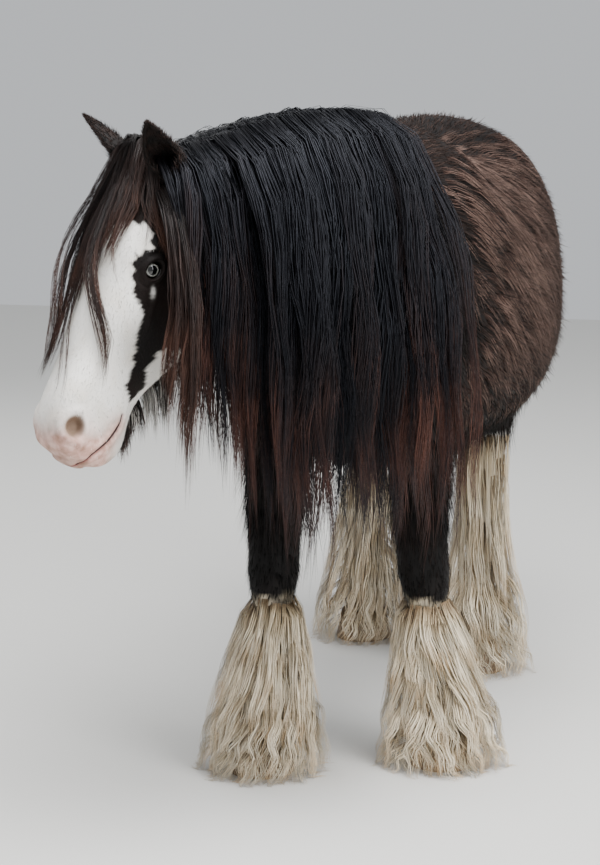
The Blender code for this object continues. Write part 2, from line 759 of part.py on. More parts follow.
def add_ear(side, head, home):
    """An ear: a leaf that stands up from the skull and is hollowed at the front into a cup."""
    a, f, s = head_axes()
    root = on_head(EAR_AT[0], EAR_AT[1], side * EAR_AT[2])
    up = (-a * 0.56 + f * 0.84 + s * side * 0.34).normalized()
    mouth = (f * 0.60 + a * 0.30 + s * side * 0.70)
    mouth = (mouth - up * mouth.dot(up)).normalized()
    across = up.cross(mouth)
    rings, hollows = [], []
    for share, half_width, depth in EAR:
        centre = root + up * EAR_LENGTH * share + mouth * 0.016 * share**2 - across * side * 0.012 * share
        turn = [2 * math.pi * k / 10 for k in range(10)]
        rings.append([centre + across * half_width * math.cos(t) + mouth * depth * math.sin(t) for t in turn])
        inner = centre + mouth * depth * 0.55
        hollows.append([inner + across * half_width * 0.74 * math.cos(t) + mouth * depth * 0.95 * math.sin(t) for t in turn])
    name = "ear_left" if side > 0 else "ear_right"
    tip = root + up * EAR_LENGTH + mouth * 0.018 - across * side * 0.013
    ear = tube(name, rings, MANE_BLACK, home, pointed=tip)
    cup = tube("cup", hollows[2:-1], MANE_BLACK, home, pointed=tip - up * 0.022 + mouth * 0.006)
    boolean(ear, "DIFFERENCE", cup, "MANIFOLD")
    remove(cup)
    cut_clear(ear, head, CLEAR, home)
    return keep_largest(ear)


def add_eye(side, home):
    name = "eye_left" if side > 0 else "eye_right"
    centre = on_head(EYE_AT[0], EYE_AT[1], side * EYE_AT[2])
    return ball(name, centre, (EYE_RADIUS,) * 3, head_axes(), EYE_DARK, home, 8, 12)


def add_lids(home):
    """Two bent lids over each eyeball, pointed at the corners of the eye."""
    a, f, s = head_axes()
    for side in (1, -1):
        centre = on_head(EYE_AT[0], EYE_AT[1], side * EYE_AT[2])
        for rise, thick in ((0.78, 0.0062), (-0.72, 0.0050)):
            rings = []
            for k in range(8):
                t = math.pi * (k / 7)
                long, high = -math.cos(t) * 0.94, rise * math.sin(t) * 0.70
                out = math.sqrt(max(0.02, 1 - long**2 * 0.86 - high**2 * 0.72))
                way = (a * long + f * high + s * side * out).normalized()
                spot = centre + way * (EYE_RADIUS + 0.0012)
                lift = (f * (1 if rise > 0 else -1) - way * way.dot(f) * (1 if rise > 0 else -1)).normalized()
                size = thick * (0.45 + 0.55 * math.sin(t))
                rings.append([spot + way * size * math.cos(u) + lift * size * 1.5 * math.sin(u) for u in
                              (2 * math.pi * n / 5 for n in range(5))])
            tube(f"lid_{side}_{rise}", rings, COAT_WHITE, home)


def shape_face(head, home):
    """Lids, nostrils and the mouth line, worked into the head's own solid."""
    a, f, s = head_axes()
    lids = collection("lids")
    add_lids(lids)
    boolean(head, "UNION", lids, "MANIFOLD")
    remove(*lids.objects)
    line = [Vector((x, z, 0)) for x, z in MOUTH_LINE]
    low = [p - Vector((0, MOUTH_GAPE / 2, 0)) for p in line]
    high = [p + Vector((0, MOUTH_GAPE / 2, 0)) for p in line]
    outline = low + high[::-1]
    rings = [[on_head(p.x, p.y, side * 0.12) for p in outline] for side in (-1, 1)]
    slab = tube("mouth_line", rings, COAT_WHITE, home)
    core = inflated(head, -MOUTH_DEPTH, home)
    boolean(slab, "DIFFERENCE", core, "EXACT")
    boolean(head, "DIFFERENCE", slab, "EXACT")
    remove(slab, core)
    for side in (1, -1):
        spot = on_head(NOSTRIL_AT[0], NOSTRIL_AT[1], side * NOSTRIL_AT[2])
        pit = ball("nostril", spot, (0.016, 0.0095, 0.017), ((a * 0.8 + f * 0.6), (f * 0.8 - a * 0.6), s), COAT_WHITE, home, 6, 9)
        boolean(head, "DIFFERENCE", pit, "EXACT")
        remove(pit)
    return keep_largest(head)


def add_tail(rump, home):
    """The dock and the hair of the tail, hanging clear behind the rump in overlapping locks."""
    rows = [section(centre, (1, 0, 0), (0, 1, 0), wide, deep, deep) for centre, wide, deep in TAIL]
    line = smooth_rows(rows, 101)
    core = line[:72].copy()
    core[8:, 9:] *= np.linspace(1.0, 0.45, 64)[:, None]
    tail = loft("tail", core[::6], 2.0, 12, MANE_BLACK, home)
    draw = random.Random(3)
    hair = collection("tail_locks")
    for count, start, end, reach in TAIL_TIERS:
        for k in range(count):
            angle = 2 * math.pi * (k + draw.uniform(-0.1, 0.1)) / count + start * 9
            last = end - draw.uniform(0, 0.08)
            path, normals = [], []
            for t in (0.0, 0.14, 0.40, 0.70, 1.0):
                row = line[round(100 * (start + (last - start) * t))]
                turn = angle + 0.25 * t
                out = Vector((math.cos(turn), math.sin(turn), 0))
                far = 0.25 if t == 0 else reach
                path.append(Vector((row[0] + out.x * row[9] * far, row[1] + out.y * row[10] * far, row[2])))
                normals.append(out)
            lock(f"tail_{start}_{k}", path, normals, 0.070, 0.012, MANE_BLACK, hair, 0.0, 0.07)
    boolean(tail, "UNION", hair, "MANIFOLD")
    remove(*hair.objects)
    cut_clear(tail, rump, CLEAR, home)
    return keep_largest(tail)


def part_body(body, home):
    """Thin cuts through the whole body: neck, three lengths of trunk and four upper legs."""
    pieces = {}
    pieces["neck_lower"] = halve(body, *NECK_BASE, "neck_lower", home)
    pieces["neck_upper"] = halve(pieces["neck_lower"], *NECK_MIDDLE, "neck_upper", home)
    for leg in LEGS:
        low, high = sorted((leg.side * 0.015, leg.side * 0.60))
        if leg.hind:
            outline = ((0.72, 0.30), (0.74, 0.66), (0.84, 0.86), (1.00, 0.93), (1.50, 0.93), (1.50, 0.30))
        else:
            outline = ((-0.50, 0.30), (-0.50, 0.80), (-0.06, 0.83), (0.20, 0.76), (0.28, 0.66), (0.28, 0.30))
        block = prism(leg.name + "_block", outline, low, high, home)
        upper = copy_of(body, leg.name + "_upper", home)
        boolean(upper, "INTERSECT", block, "MANIFOLD")
        cut_clear(body, block, CLEAR, home)
        remove(block)
        below = halve(upper, Vector((0, 0, KNEE_CUT)), Vector((0, 0, -1)), "below", home)
        remove(below)
        pieces[upper.name] = keep_largest(upper)
    forward = Vector((0, -1, 0))
    pieces["forequarters"] = keep_largest(halve(body, Vector((0, SHOULDER_CUT, 0)), forward, "forequarters", home))
    pieces["barrel"] = keep_largest(halve(body, Vector((0, LOIN_CUT, 0)), forward, "barrel", home))
    body.name = "hindquarters"
    pieces["hindquarters"] = keep_largest(body)
    return pieces


def main():
    clear_scene()
    home = collection("gypsy_vanner_horse")
    body = whole_body(home)
    head = head_form("head", home)
    skin = surface_tree(body, head)
    pieces = part_body(body, home)
    ears = [add_ear(side, head, home) for side in (1, -1)]
    eyes = [add_eye(side, home) for side in (1, -1)]
    for name in ("neck_upper", "neck_lower"):
        keep_largest(cut_clear(pieces[name], head, CLEAR, home))
    shape_face(head, home)
    for eye in eyes:
        cut_clear(head, eye, CLEAR, home)
    keep_largest(head)
    for leg in LEGS:
        hoof = add_hoof(leg, home)
        add_lower_leg(leg, hoof, pieces[leg.name + "_upper"], home)
    add_tail(pieces["hindquarters"], home)
    necks = [pieces["neck_upper"], pieces["neck_lower"]]
    add_head_hair(head, [*ears, *necks], skin, home)
    near = [head, *ears, pieces["forequarters"], pieces["foreleg_left_upper"], pieces["foreleg_right_upper"]]
    add_mane(necks, near, skin, home)
    settle(home)


def settle(home):
    """Moves everything so that the origin is the middle of the floor under the whole horse."""
    points = np.array([v.co for obj in home.objects for v in obj.data.vertices])
    low, high = points.min(0), points.max(0)
    shift = Vector((-(low[0] + high[0]) / 2, -(low[1] + high[1]) / 2, 0))
    for obj in home.objects:
        obj.data.transform(Matrix.Translation(shift))


main()
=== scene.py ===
import json
import math

import bpy
import numpy as np
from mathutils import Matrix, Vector
from mathutils.bvhtree import BVHTree

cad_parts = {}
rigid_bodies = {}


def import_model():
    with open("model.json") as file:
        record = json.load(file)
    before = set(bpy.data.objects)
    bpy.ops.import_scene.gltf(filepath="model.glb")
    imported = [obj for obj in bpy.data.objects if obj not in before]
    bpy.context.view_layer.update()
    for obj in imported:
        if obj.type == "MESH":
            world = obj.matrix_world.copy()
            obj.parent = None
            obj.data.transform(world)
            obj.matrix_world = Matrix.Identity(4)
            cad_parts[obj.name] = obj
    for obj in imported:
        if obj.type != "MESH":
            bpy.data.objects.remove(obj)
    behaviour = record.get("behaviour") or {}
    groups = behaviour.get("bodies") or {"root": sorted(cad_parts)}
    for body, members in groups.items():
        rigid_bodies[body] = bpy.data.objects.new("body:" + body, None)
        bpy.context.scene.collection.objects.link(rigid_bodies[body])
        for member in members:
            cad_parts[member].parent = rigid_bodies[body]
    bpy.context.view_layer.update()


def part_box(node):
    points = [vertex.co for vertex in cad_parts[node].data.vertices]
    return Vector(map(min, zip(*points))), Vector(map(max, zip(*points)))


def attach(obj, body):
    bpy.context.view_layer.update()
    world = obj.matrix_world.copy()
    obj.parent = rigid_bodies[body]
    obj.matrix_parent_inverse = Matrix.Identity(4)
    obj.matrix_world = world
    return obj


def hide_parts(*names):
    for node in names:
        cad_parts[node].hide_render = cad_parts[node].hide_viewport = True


for leftover in list(bpy.data.objects):
    bpy.data.objects.remove(leftover)
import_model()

bl_info = {
    "name": "Gypsy vanner horse",
    "version": (1, 0, 0),
    "blender": (4, 5, 0),
    "location": "View3D > Sidebar > Horse",
    "description": "A life-size still model of a feathered draught horse with a long mane",
    "category": "Add Mesh",
}

# The horse's own measures, in metres. The tables stand in the stance's frame, whose origin is on the floor
# between the forefeet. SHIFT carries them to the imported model's frame, from where its left fore hoof stands.

# Legs: name, foot on the floor, top under the trunk, whether it is a hind leg
LEGS = (
    ("foreleg_left", (0.190, 0.062), (0.140, 0.010), False),
    ("foreleg_right", (-0.190, -0.073), (-0.175, -0.005), False),
    ("hindleg_left", (0.150, 0.870), (0.165, 0.985), True),
    ("hindleg_right", (-0.195, 1.125), (-0.165, 0.995), True),
)
HOOF_MIDDLE = (0.190, 0.052)  # of the left fore hoof
HOOF_LOW, HOOF_HIGH = (np.array(corner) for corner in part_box("hoof_foreleg_left"))
SHIFT = np.array([(HOOF_LOW[0] + HOOF_HIGH[0]) / 2 - HOOF_MIDDLE[0],
                  (HOOF_LOW[1] + HOOF_HIGH[1]) / 2 - HOOF_MIDDLE[1], 0.0])

# Trunk from breast to buttock: place along the body, top, bottom, half width, height of the widest line
TRUNK = (
    (-0.285, 1.100, 0.900, 0.070, 1.00),
    (-0.255, 1.170, 0.830, 0.155, 1.00),
    (-0.190, 1.250, 0.760, 0.215, 1.00),
    (-0.080, 1.340, 0.700, 0.255, 1.01),
    (0.060, 1.405, 0.675, 0.285, 1.00),
    (0.200, 1.425, 0.650, 0.320, 0.97),
    (0.380, 1.380, 0.635, 0.355, 0.93),
    (0.580, 1.355, 0.630, 0.374, 0.93),
    (0.760, 1.375, 0.660, 0.366, 0.96),
    (0.920, 1.408, 0.725, 0.342, 1.02),
    (1.060, 1.398, 0.800, 0.310, 1.06),
    (1.180, 1.335, 0.870, 0.255, 1.07),
    (1.260, 1.240, 0.940, 0.168, 1.07),
    (1.295, 1.150, 1.000, 0.070, 1.08),
)
# Neck from the shoulders to the poll: crest, throat, half width
NECK = (
    ((0.000, 0.240, 1.390), (0.000, -0.100, 0.800), 0.200),
    ((-0.010, 0.060, 1.425), (-0.010, -0.220, 0.900), 0.175),
    ((-0.070, -0.130, 1.442), (-0.060, -0.290, 0.990), 0.145),
    ((-0.170, -0.300, 1.432), (-0.150, -0.340, 1.070), 0.115),
    ((-0.265, -0.425, 1.396), (-0.220, -0.375, 1.135), 0.095),
    ((-0.312, -0.478, 1.362), (-0.262, -0.400, 1.180), 0.078),
)
# Head: place from poll to lips, heights of the face line and of the jaw line, half width
POLL = np.array([-0.326, -0.500, 1.362])
# The head's three angles, like the camera below, come from a fit to landmarks in the photo, rounded
HEAD_TURN, HEAD_HANG, HEAD_TILT = math.radians(46), math.radians(26), math.radians(-3)
HEAD = (
    (-0.010, -0.045, -0.125, 0.040),
    (0.015, -0.012, -0.170, 0.068),
    (0.055, 0.002, -0.222, 0.086),
    (0.110, 0.012, -0.266, 0.098),
    (0.170, 0.016, -0.288, 0.106),
    (0.235, 0.013, -0.284, 0.102),
    (0.305, 0.006, -0.254, 0.088),
    (0.375, 0.000, -0.218, 0.073),
    (0.440, -0.004, -0.190, 0.064),
    (0.500, -0.006, -0.184, 0.064),
    (0.548, -0.016, -0.181, 0.066),
    (0.584, -0.040, -0.166, 0.056),
    (0.600, -0.076, -0.134, 0.032),
)
# Legs: height, share of the way from foot to top, push to the rear, half width, half depth
FORELEG = (
    (1.120, 1.00, 0.030, 0.095, 0.150),
    (0.960, 1.00, 0.020, 0.112, 0.160),
    (0.830, 1.00, 0.010, 0.098, 0.132),
    (0.710, 1.00, 0.000, 0.078, 0.102),
    (0.600, 0.95, -0.004, 0.068, 0.082),
    (0.510, 0.88, -0.004, 0.062, 0.070),
    (0.440, 0.80, 0.000, 0.063, 0.067),
    (0.400, 0.74, 0.002, 0.056, 0.061),
    (0.320, 0.56, 0.004, 0.042, 0.051),
    (0.240, 0.36, 0.006, 0.040, 0.050),
    (0.170, 0.20, 0.010, 0.047, 0.058),
    (0.120, 0.08, 0.004, 0.046, 0.054),
    (0.068, 0.00, 0.000, 0.052, 0.056),
)
HINDLEG = (
    (1.180, 1.00, 0.000, 0.115, 0.190),
    (1.020, 1.00, 0.000, 0.135, 0.205),
    (0.880, 0.95, -0.010, 0.125, 0.185),
    (0.760, 0.72, 0.000, 0.100, 0.145),
    (0.640, 0.40, 0.022, 0.073, 0.098),
    (0.540, 0.16, 0.040, 0.055, 0.075),
    (0.470, 0.05, 0.046, 0.055, 0.076),
    (0.410, 0.00, 0.040, 0.047, 0.062),
    (0.320, 0.00, 0.028, 0.041, 0.054),
    (0.240, 0.00, 0.020, 0.040, 0.051),
    (0.170, 0.00, 0.018, 0.047, 0.058),
    (0.120, 0.00, 0.006, 0.046, 0.054),
    (0.068, 0.00, 0.000, 0.052, 0.056),
)
# Hoof: height, radius
HOOF = ((0.0, 0.0745), (0.003, 0.0758), (0.020, 0.0720), (0.045, 0.0680), (0.068, 0.0630), (0.074, 0.0600),
        (0.0765, 0.0550))
# Swellings of the head: place along, height, width, spread, push
SWELLINGS = (
    (0.185, -0.030, 0.100, 0.034, 0.008),
    (0.195, -0.105, 0.100, 0.030, -0.004),
    (0.150, -0.190, 0.095, 0.060, 0.008),
    (0.300, -0.085, 0.085, 0.030, 0.005),
    (0.380, -0.110, 0.070, 0.045, -0.006),
    (0.540, -0.058, 0.058, 0.026, 0.008),
    (0.585, -0.100, 0.025, 0.022, 0.006),
    (0.550, -0.170, 0.000, 0.030, 0.006),
    (0.492, -0.140, 0.058, 0.018, 0.003),
    (0.545, -0.178, 0.000, 0.036, 0.006),
    (0.520, -0.165, 0.035, 0.026, 0.004),
    (0.590, -0.050, 0.035, 0.022, 0.007),
)
# Furrows of the head: place along, height, reach along and across, push; the hollow over the eye, the crest
# down the cheek, the hollow under the crest, and the furrow behind the nostril
FURROWS = (
    (0.125, -0.035, 0.020, 0.016, -0.007),
    (0.290, -0.098, 0.060, 0.007, 0.004),
    (0.285, -0.120, 0.055, 0.012, -0.003),
    (0.480, -0.060, 0.030, 0.012, -0.003),
)
EYE_AT, EYE_RADIUS = (0.201, -0.058, 0.086), 0.0215
NOSTRIL_AT = (0.537, -0.050, 0.064)
MOUTH_LINE = ((0.477, -0.146), (0.500, -0.147), (0.535, -0.136), (0.575, -0.113), (0.612, -0.102),
              (0.640, -0.098))
EAR_AT, EAR_LENGTH, EAR_WALL = (0.018, -0.036, 0.072), 0.149, 0.0032
EAR_RINGS, EAR_ARC = 48, 26  # rings up an ear, and points in each of a ring's two arcs
# Ear: share of its length, half width, half depth
EAR = (
    (-0.14, 0.026, 0.023),
    (0.00, 0.031, 0.024),
    (0.16, 0.035, 0.022),
    (0.34, 0.035, 0.019),
    (0.52, 0.031, 0.016),
    (0.70, 0.022, 0.012),
    (0.85, 0.013, 0.008),
    (0.95, 0.005, 0.004),
    (1.00, 0.002, 0.002),
)
# Mane on each side: falls by place along the crest from poll to withers, then its layers of locks, each with
# the locks, strands in each, range of length as a share of the fall, lift off the neck, width of lock, width
# of strand, and how far headings stray
MANE = (
    ("mane_left", 1, (0.61, 0.79, 1.00, 1.10, 1.12, 1.19, 1.12, 1.02, 1.00),
     ((56, 20, (0.80, 0.97), (0.006, 0.016), (0.036, 0.058), (0.0034, 0.0062), 0.08),
      (64, 42, (0.84, 1.03), (0.014, 0.046), (0.022, 0.060), (0.0018, 0.0036), 0.13),
      (56, 4, (0.60, 1.04), (0.024, 0.040), (0.008, 0.030), (0.0014, 0.0024), 0.20))),
    ("mane_right", -1, (0.50, 0.62, 0.70, 0.72, 0.66, 0.58),
     ((38, 18, (0.66, 0.92), (0.006, 0.014), (0.036, 0.058), (0.0034, 0.0062), 0.08),
      (30, 36, (0.80, 1.05), (0.014, 0.034), (0.030, 0.064), (0.0018, 0.0036), 0.08),
      (20, 4, (0.60, 1.04), (0.030, 0.044), (0.008, 0.030), (0.0014, 0.0024), 0.20))),
)
# Forelock: locks, strands in each, sun-bleaching, and the way they take down the face, in the head's own
# measures. The ways were picked by eye along the locks in the photo and carried onto the head by rays from
# the camera in a separate program, whose numbers were copied here. Roots and most heights were set one by
# one.
FORELOCK = (
    (4, 16, 0.46, ((-0.035, 0.000, -0.045), (-0.016, 0.028, -0.052), (0.048, 0.031, -0.068),
     (0.110, 0.034, -0.076), (0.165, 0.036, -0.088), (0.236, 0.035, -0.084), (0.302, 0.025, -0.069),
     (0.367, 0.011, -0.053), (0.437, -0.002, -0.043))),
    (7, 20, 0.22, ((-0.035, 0.000, -0.036), (-0.020, 0.029, -0.045), (0.030, 0.024, -0.060),
     (0.131, 0.025, -0.070), (0.225, 0.022, -0.080), (0.298, 0.018, -0.064), (0.373, 0.005, -0.050),
     (0.448, -0.006, -0.041), (0.485, -0.008, -0.038))),
    (7, 22, 0.16, ((-0.035, 0.000, -0.028), (-0.024, 0.029, -0.036), (0.025, 0.022, -0.054),
     (0.125, 0.018, -0.063), (0.218, 0.012, -0.072), (0.290, 0.005, -0.054), (0.367, -0.004, -0.043),
     (0.441, -0.010, -0.038), (0.480, -0.012, -0.034))),
    (7, 22, 0.14, ((-0.035, 0.000, -0.018), (-0.026, 0.028, -0.026), (0.020, 0.022, -0.042),
     (0.121, 0.016, -0.034), (0.214, 0.014, -0.024), (0.288, 0.005, -0.022), (0.344, 0.000, -0.012))),
    (2, 14, 0.30, ((-0.035, 0.000, -0.016), (-0.026, 0.028, -0.022), (0.020, 0.022, -0.040),
     (0.121, 0.014, -0.032), (0.214, 0.012, -0.018), (0.288, 0.005, -0.020), (0.344, 0.000, -0.012),
     (0.396, -0.003, 0.003), (0.474, -0.010, 0.026), (0.510, -0.012, 0.030))),
    (5, 20, 0.18, ((-0.035, 0.000, -0.008), (-0.026, 0.028, -0.016), (0.021, 0.018, -0.030),
     (0.119, 0.015, -0.005), (0.211, 0.013, 0.013), (0.258, 0.007, 0.028), (0.320, -0.015, 0.059),
     (0.367, -0.043, 0.067), (0.440, -0.065, 0.061), (0.490, -0.075, 0.058))),
    (2, 10, 0.30, ((-0.035, 0.000, 0.000), (-0.026, 0.026, -0.006), (0.026, 0.014, -0.016),
     (0.118, 0.013, 0.012), (0.197, 0.013, 0.025), (0.253, 0.001, 0.049), (0.306, -0.017, 0.064),
     (0.356, -0.048, 0.070))),
    (6, 20, 0.26, ((-0.035, 0.000, 0.006), (-0.024, 0.024, 0.002), (0.036, 0.010, 0.002),
     (0.119, 0.012, 0.030), (0.187, 0.014, 0.035), (0.223, 0.010, 0.038))),
    (3, 16, 0.32, ((-0.035, 0.000, 0.010), (-0.024, 0.022, 0.010), (0.039, 0.011, 0.014),
     (0.093, 0.006, 0.045), (0.151, 0.011, 0.052), (0.197, 0.013, 0.046), (0.237, 0.008, 0.048))),
    (5, 18, 0.34, ((-0.035, 0.000, 0.012), (-0.024, 0.022, 0.010), (0.030, 0.010, 0.016),
     (0.080, 0.008, 0.034), (0.128, 0.008, 0.044))),
    (4, 14, 0.30, ((-0.030, 0.000, 0.030), (-0.012, 0.010, 0.044), (0.045, -0.006, 0.066),
     (0.095, -0.026, 0.088), (0.145, -0.052, 0.102), (0.200, -0.096, 0.110))),
    (1, 8, 0.34, ((-0.030, 0.000, 0.016), (-0.018, 0.020, 0.016), (0.064, 0.004, 0.034),
     (0.144, 0.006, 0.056), (0.206, -0.003, 0.072), (0.275, -0.036, 0.085))),
    (1, 7, 0.34, ((-0.030, 0.000, 0.024), (-0.014, 0.014, 0.030), (0.060, 0.000, 0.048),
     (0.134, -0.010, 0.079), (0.194, -0.022, 0.099))),
)
# Hair beside the forelock: root along and across the poll, sideways heading, length, locks, strands in each,
# sun-bleaching, lift
TEMPLES = (
    (-0.006, -0.068, -1.30, 0.42, 5, 16, 0.34, 0.012),
    (0.004, -0.056, -1.10, 0.48, 6, 18, 0.30, 0.014),
    (0.014, -0.040, -0.95, 0.50, 5, 18, 0.26, 0.012),
    (0.026, 0.062, 1.60, 0.58, 7, 20, 0.34, 0.024),
    (0.012, 0.068, 1.80, 0.66, 7, 22, 0.32, 0.028),
    (-0.004, 0.066, 2.20, 0.71, 7, 22, 0.28, 0.024),
    (-0.016, 0.060, 2.60, 0.71, 6, 22, 0.24, 0.018),
)
# Beard: place along the jaw, length, share of white hair
BEARD = ((0.27, 0.050, 0.1), (0.31, 0.105, 0.5), (0.35, 0.130, 0.8), (0.39, 0.110, 0.9), (0.43, 0.080, 0.7),
         (0.465, 0.066, 0.05), (0.500, 0.066, 0.0), (0.530, 0.030, 0.0))
# Feather: height, radius of the bell of hair, radius where it leaves the leg
FEATHER = (
    (0.540, 0.054, 0.044),
    (0.460, 0.060, 0.046),
    (0.400, 0.064, 0.048),
    (0.350, 0.070, 0.048),
    (0.300, 0.080, 0.048),
    (0.200, 0.106, 0.052),
    (0.110, 0.128, 0.058),
    (0.040, 0.140, 0.064),
    (0.000, 0.144, 0.066),
)
# Tiers of feather: locks, height of roots and of tips, strands in each, points of a strand, size and length
# of its waves, how far its tips vary in height
FEATHER_TIERS = (
    (36, 0.412, 0.190, 16, 6, 0.0030, 0.25, 0.06),
    (36, 0.350, 0.090, 18, 8, 0.0040, 0.20, 0.05),
    (36, 0.290, 0.020, 17, 9, 0.0050, 0.14, 0.03),
    (40, 0.205, -0.030, 16, 10, 0.0080, 0.090, 0.010),
    (44, 0.120, -0.040, 12, 8, 0.0070, 0.075, 0.010),
)
# Heights up to which the legs are white
WHITE_FORE, WHITE_HIND_LEFT, WHITE_HIND_RIGHT = 0.378, 0.600, 0.450
# Tail: middle, half width, half depth, from the dock to the tip
TAIL = (
    ((0.0, 1.225, 1.270), 0.035, 0.035),
    ((0.0, 1.300, 1.240), 0.048, 0.045),
    ((0.0, 1.345, 1.130), 0.065, 0.052),
    ((0.005, 1.365, 0.950), 0.082, 0.058),
    ((0.010, 1.370, 0.740), 0.092, 0.060),
    ((0.015, 1.365, 0.500), 0.088, 0.056),
    ((0.018, 1.360, 0.300), 0.064, 0.042),
    ((0.020, 1.355, 0.150), 0.030, 0.022),
)
# The dark side of the face: place along the head against the heights between which the coat is dark. Most of
# these too were picked by eye in the photo and carried onto the head by a separate program, and some then
# adjusted by hand.
DARK_ABOVE = ((0.0, 0.09, 0.103, 0.139, 0.165, 0.190, 0.214, 0.26, 0.287, 0.328, 0.38, 0.421, 0.452),
              (0.10, 0.10, -0.003, -0.030, -0.036, -0.012, -0.019, -0.044, -0.080, -0.087, -0.120, -0.127,
               -0.152))
DARK_BELOW = ((0.0, 0.300, 0.320, 0.336, 0.378, 0.404, 0.452),
              (-0.5, -0.30, -0.176, -0.158, -0.154, -0.174, -0.152))

# The camera of the photograph: place, turn from the front of the stance and pitch down in degrees, and lens
CAMERA_AT, CAMERA_TURN, CAMERA_PITCH, CAMERA_LENS = (0.967, -4.917, 1.6), 12.5, 9.65, 97.3
# Lamps: name, place, size, power, point it looks at
LAMPS = (
    ("over", (0.8, -1.5, 4.2), 3.2, 370, (0, 0.2, 1.0)),
    ("side", (3.6, -3.0, 2.6), 2.4, 185, (0, 0, 0.9)),
    ("back", (-2.5, 3.0, 3.2), 2.6, 60, (0, 0.3, 1.0)),
)

PIECES = {}  # what later pieces are set on, filled as the pieces are made


# Shapes as arrays
def unit(v):
    """Vectors at length 1."""
    return v / (np.linalg.norm(v, axis=-1, keepdims=True) + 1e-12)


def smoothstep(low, high, x):
    """0 below low, 1 above high, and 3t^2 - 2t^3 between them."""
    t = np.clip((x - low) / (high - low), 0, 1)
    return t * t * (3 - 2 * t)


def smooth_rows(rows, at):
    """Rows at the given places along a smooth curve through the table's rows (Catmull-Rom)."""
    rows = np.asarray(rows, float)
    ends = np.vstack([2 * rows[0] - rows[1], rows, 2 * rows[-1] - rows[-2]])
    at = np.linspace(0, len(rows) - 1, at) if np.isscalar(at) else np.asarray(at, float)
    k = np.minimum(at.astype(int), len(rows) - 2)
    t = (at - k)[:, None]
    a, b, c, d = (ends[k + i] for i in range(4))
    return 0.5 * (2 * b + (c - a) * t + (2 * a - 5 * b + 4 * c - d) * t**2 + (3 * b - a - 3 * c + d) * t**3)


def full_turn(steps):
    """Angles evenly round a circle."""
    return np.linspace(0, 2 * np.pi, steps, endpoint=False)


def section(centre, lateral, up, half_width, rise, drop):
    """A row of a loft: middle, its two directions, and its reach to the sides, up and down."""
    return [*centre, *lateral, *up, half_width, rise, drop]


def ring_grid(rows, squareness, angle):
    """Sections as superellipses: |cos|^(2/n) across, |sin|^(2/n) high, by the row's reach up and down."""
    power = 2 / squareness
    across = np.sign(np.cos(angle)) * np.abs(np.cos(angle)) ** power
    height = np.sign(np.sin(angle)) * np.abs(np.sin(angle)) ** power
    tall = np.where(height[None, :] > 0, rows[:, 10:11], rows[:, 11:12]) * height[None, :]
    wide = rows[:, 9:10] * across[None, :]
    return rows[:, None, 0:3] + wide[..., None] * rows[:, None, 3:6] + tall[..., None] * rows[:, None, 6:9]


def closed_grid(grid):
    """Points, quads and triangles of a closed skin over a grid of rings, each end a fan round its middle."""
    rings, sides = grid.shape[:2]
    points = np.concatenate([grid.reshape(-1, 3), grid[:1].mean(1), grid[-1:].mean(1)])
    k = np.arange(sides)
    n = (k + 1) % sides
    base = np.arange(rings - 1)[:, None] * sides
    quads = np.stack([base + k, base + n, base + sides + n, base + sides + k], -1).reshape(-1, 4)
    low, top = rings * sides, (rings - 1) * sides
    tris = np.concatenate([np.stack([np.full(sides, low), n, k], 1),
                           np.stack([np.full(sides, low + 1), top + k, top + n], 1)])
    volume = 0.0
    for faces, i, j in ((tris, 1, 2), (quads, 1, 2), (quads, 2, 3)):
        one, two, three = (points[faces[:, corner]] for corner in (0, i, j))
        volume += np.einsum("ij,ij->i", one, np.cross(two, three)).sum()
    if volume < 0:
        quads, tris = quads[:, ::-1], tris[:, ::-1]
    return points, quads, tris


def mesh_of(name, points, quads, tris):
    """A mesh from whole arrays, shaded smooth."""
    quads = np.asarray(quads, np.int32).reshape(-1, 4)
    tris = np.asarray(tris, np.int32).reshape(-1, 3)
    mesh = bpy.data.meshes.new(name)
    mesh.vertices.add(len(points))
    mesh.vertices.foreach_set("co", np.asarray(points, np.float32).ravel())
    loops = np.concatenate([quads.ravel(), tris.ravel()])
    mesh.loops.add(len(loops))
    mesh.loops.foreach_set("vertex_index", loops)
    starts = np.concatenate([np.arange(len(quads)) * 4, len(quads) * 4 + np.arange(len(tris)) * 3])
    mesh.polygons.add(len(starts))
    mesh.polygons.foreach_set("loop_start", starts.astype(np.int32))
    mesh.polygons.foreach_set("use_smooth", np.ones(len(starts), bool))
    mesh.update(calc_edges=True)
    return mesh


def solid_mesh(name, grid):
    """A closed mesh over a grid of rings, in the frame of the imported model."""
    points, quads, tris = closed_grid(grid)
    return mesh_of(name, points + SHIFT, quads, tris)


def joined(pieces):
    """Several (points, quads, tris) as one."""
    points, quads, tris, base = [], [], [], 0
    for p, q, t in pieces:
        points.append(p)
        quads.append(np.asarray(q).reshape(-1, 4) + base)
        tris.append(np.asarray(t).reshape(-1, 3) + base)
        base += len(p)
    return np.concatenate(points), np.concatenate(quads), np.concatenate(tris)


def merged(name, meshes):
    """One mesh from several, with their attributes and UVs."""
    objects = [bpy.data.objects.new(mesh.name, mesh) for mesh in meshes]
    for obj in objects:
        bpy.context.scene.collection.objects.link(obj)
    first = objects[0]
    with bpy.context.temp_override(active_object=first, object=first, selected_objects=objects,
                                   selected_editable_objects=objects):
        bpy.ops.object.join()
    mesh = first.data
    mesh.name = name
    bpy.data.objects.remove(first)
    return mesh


def vector_attribute(mesh, name, *values):
    """Gives each point of a mesh three values by that name."""
    layer = mesh.attributes.new(name, "FLOAT_VECTOR", "POINT")
    layer.data.foreach_set("vector", np.stack(values, -1).astype(np.float32).ravel())


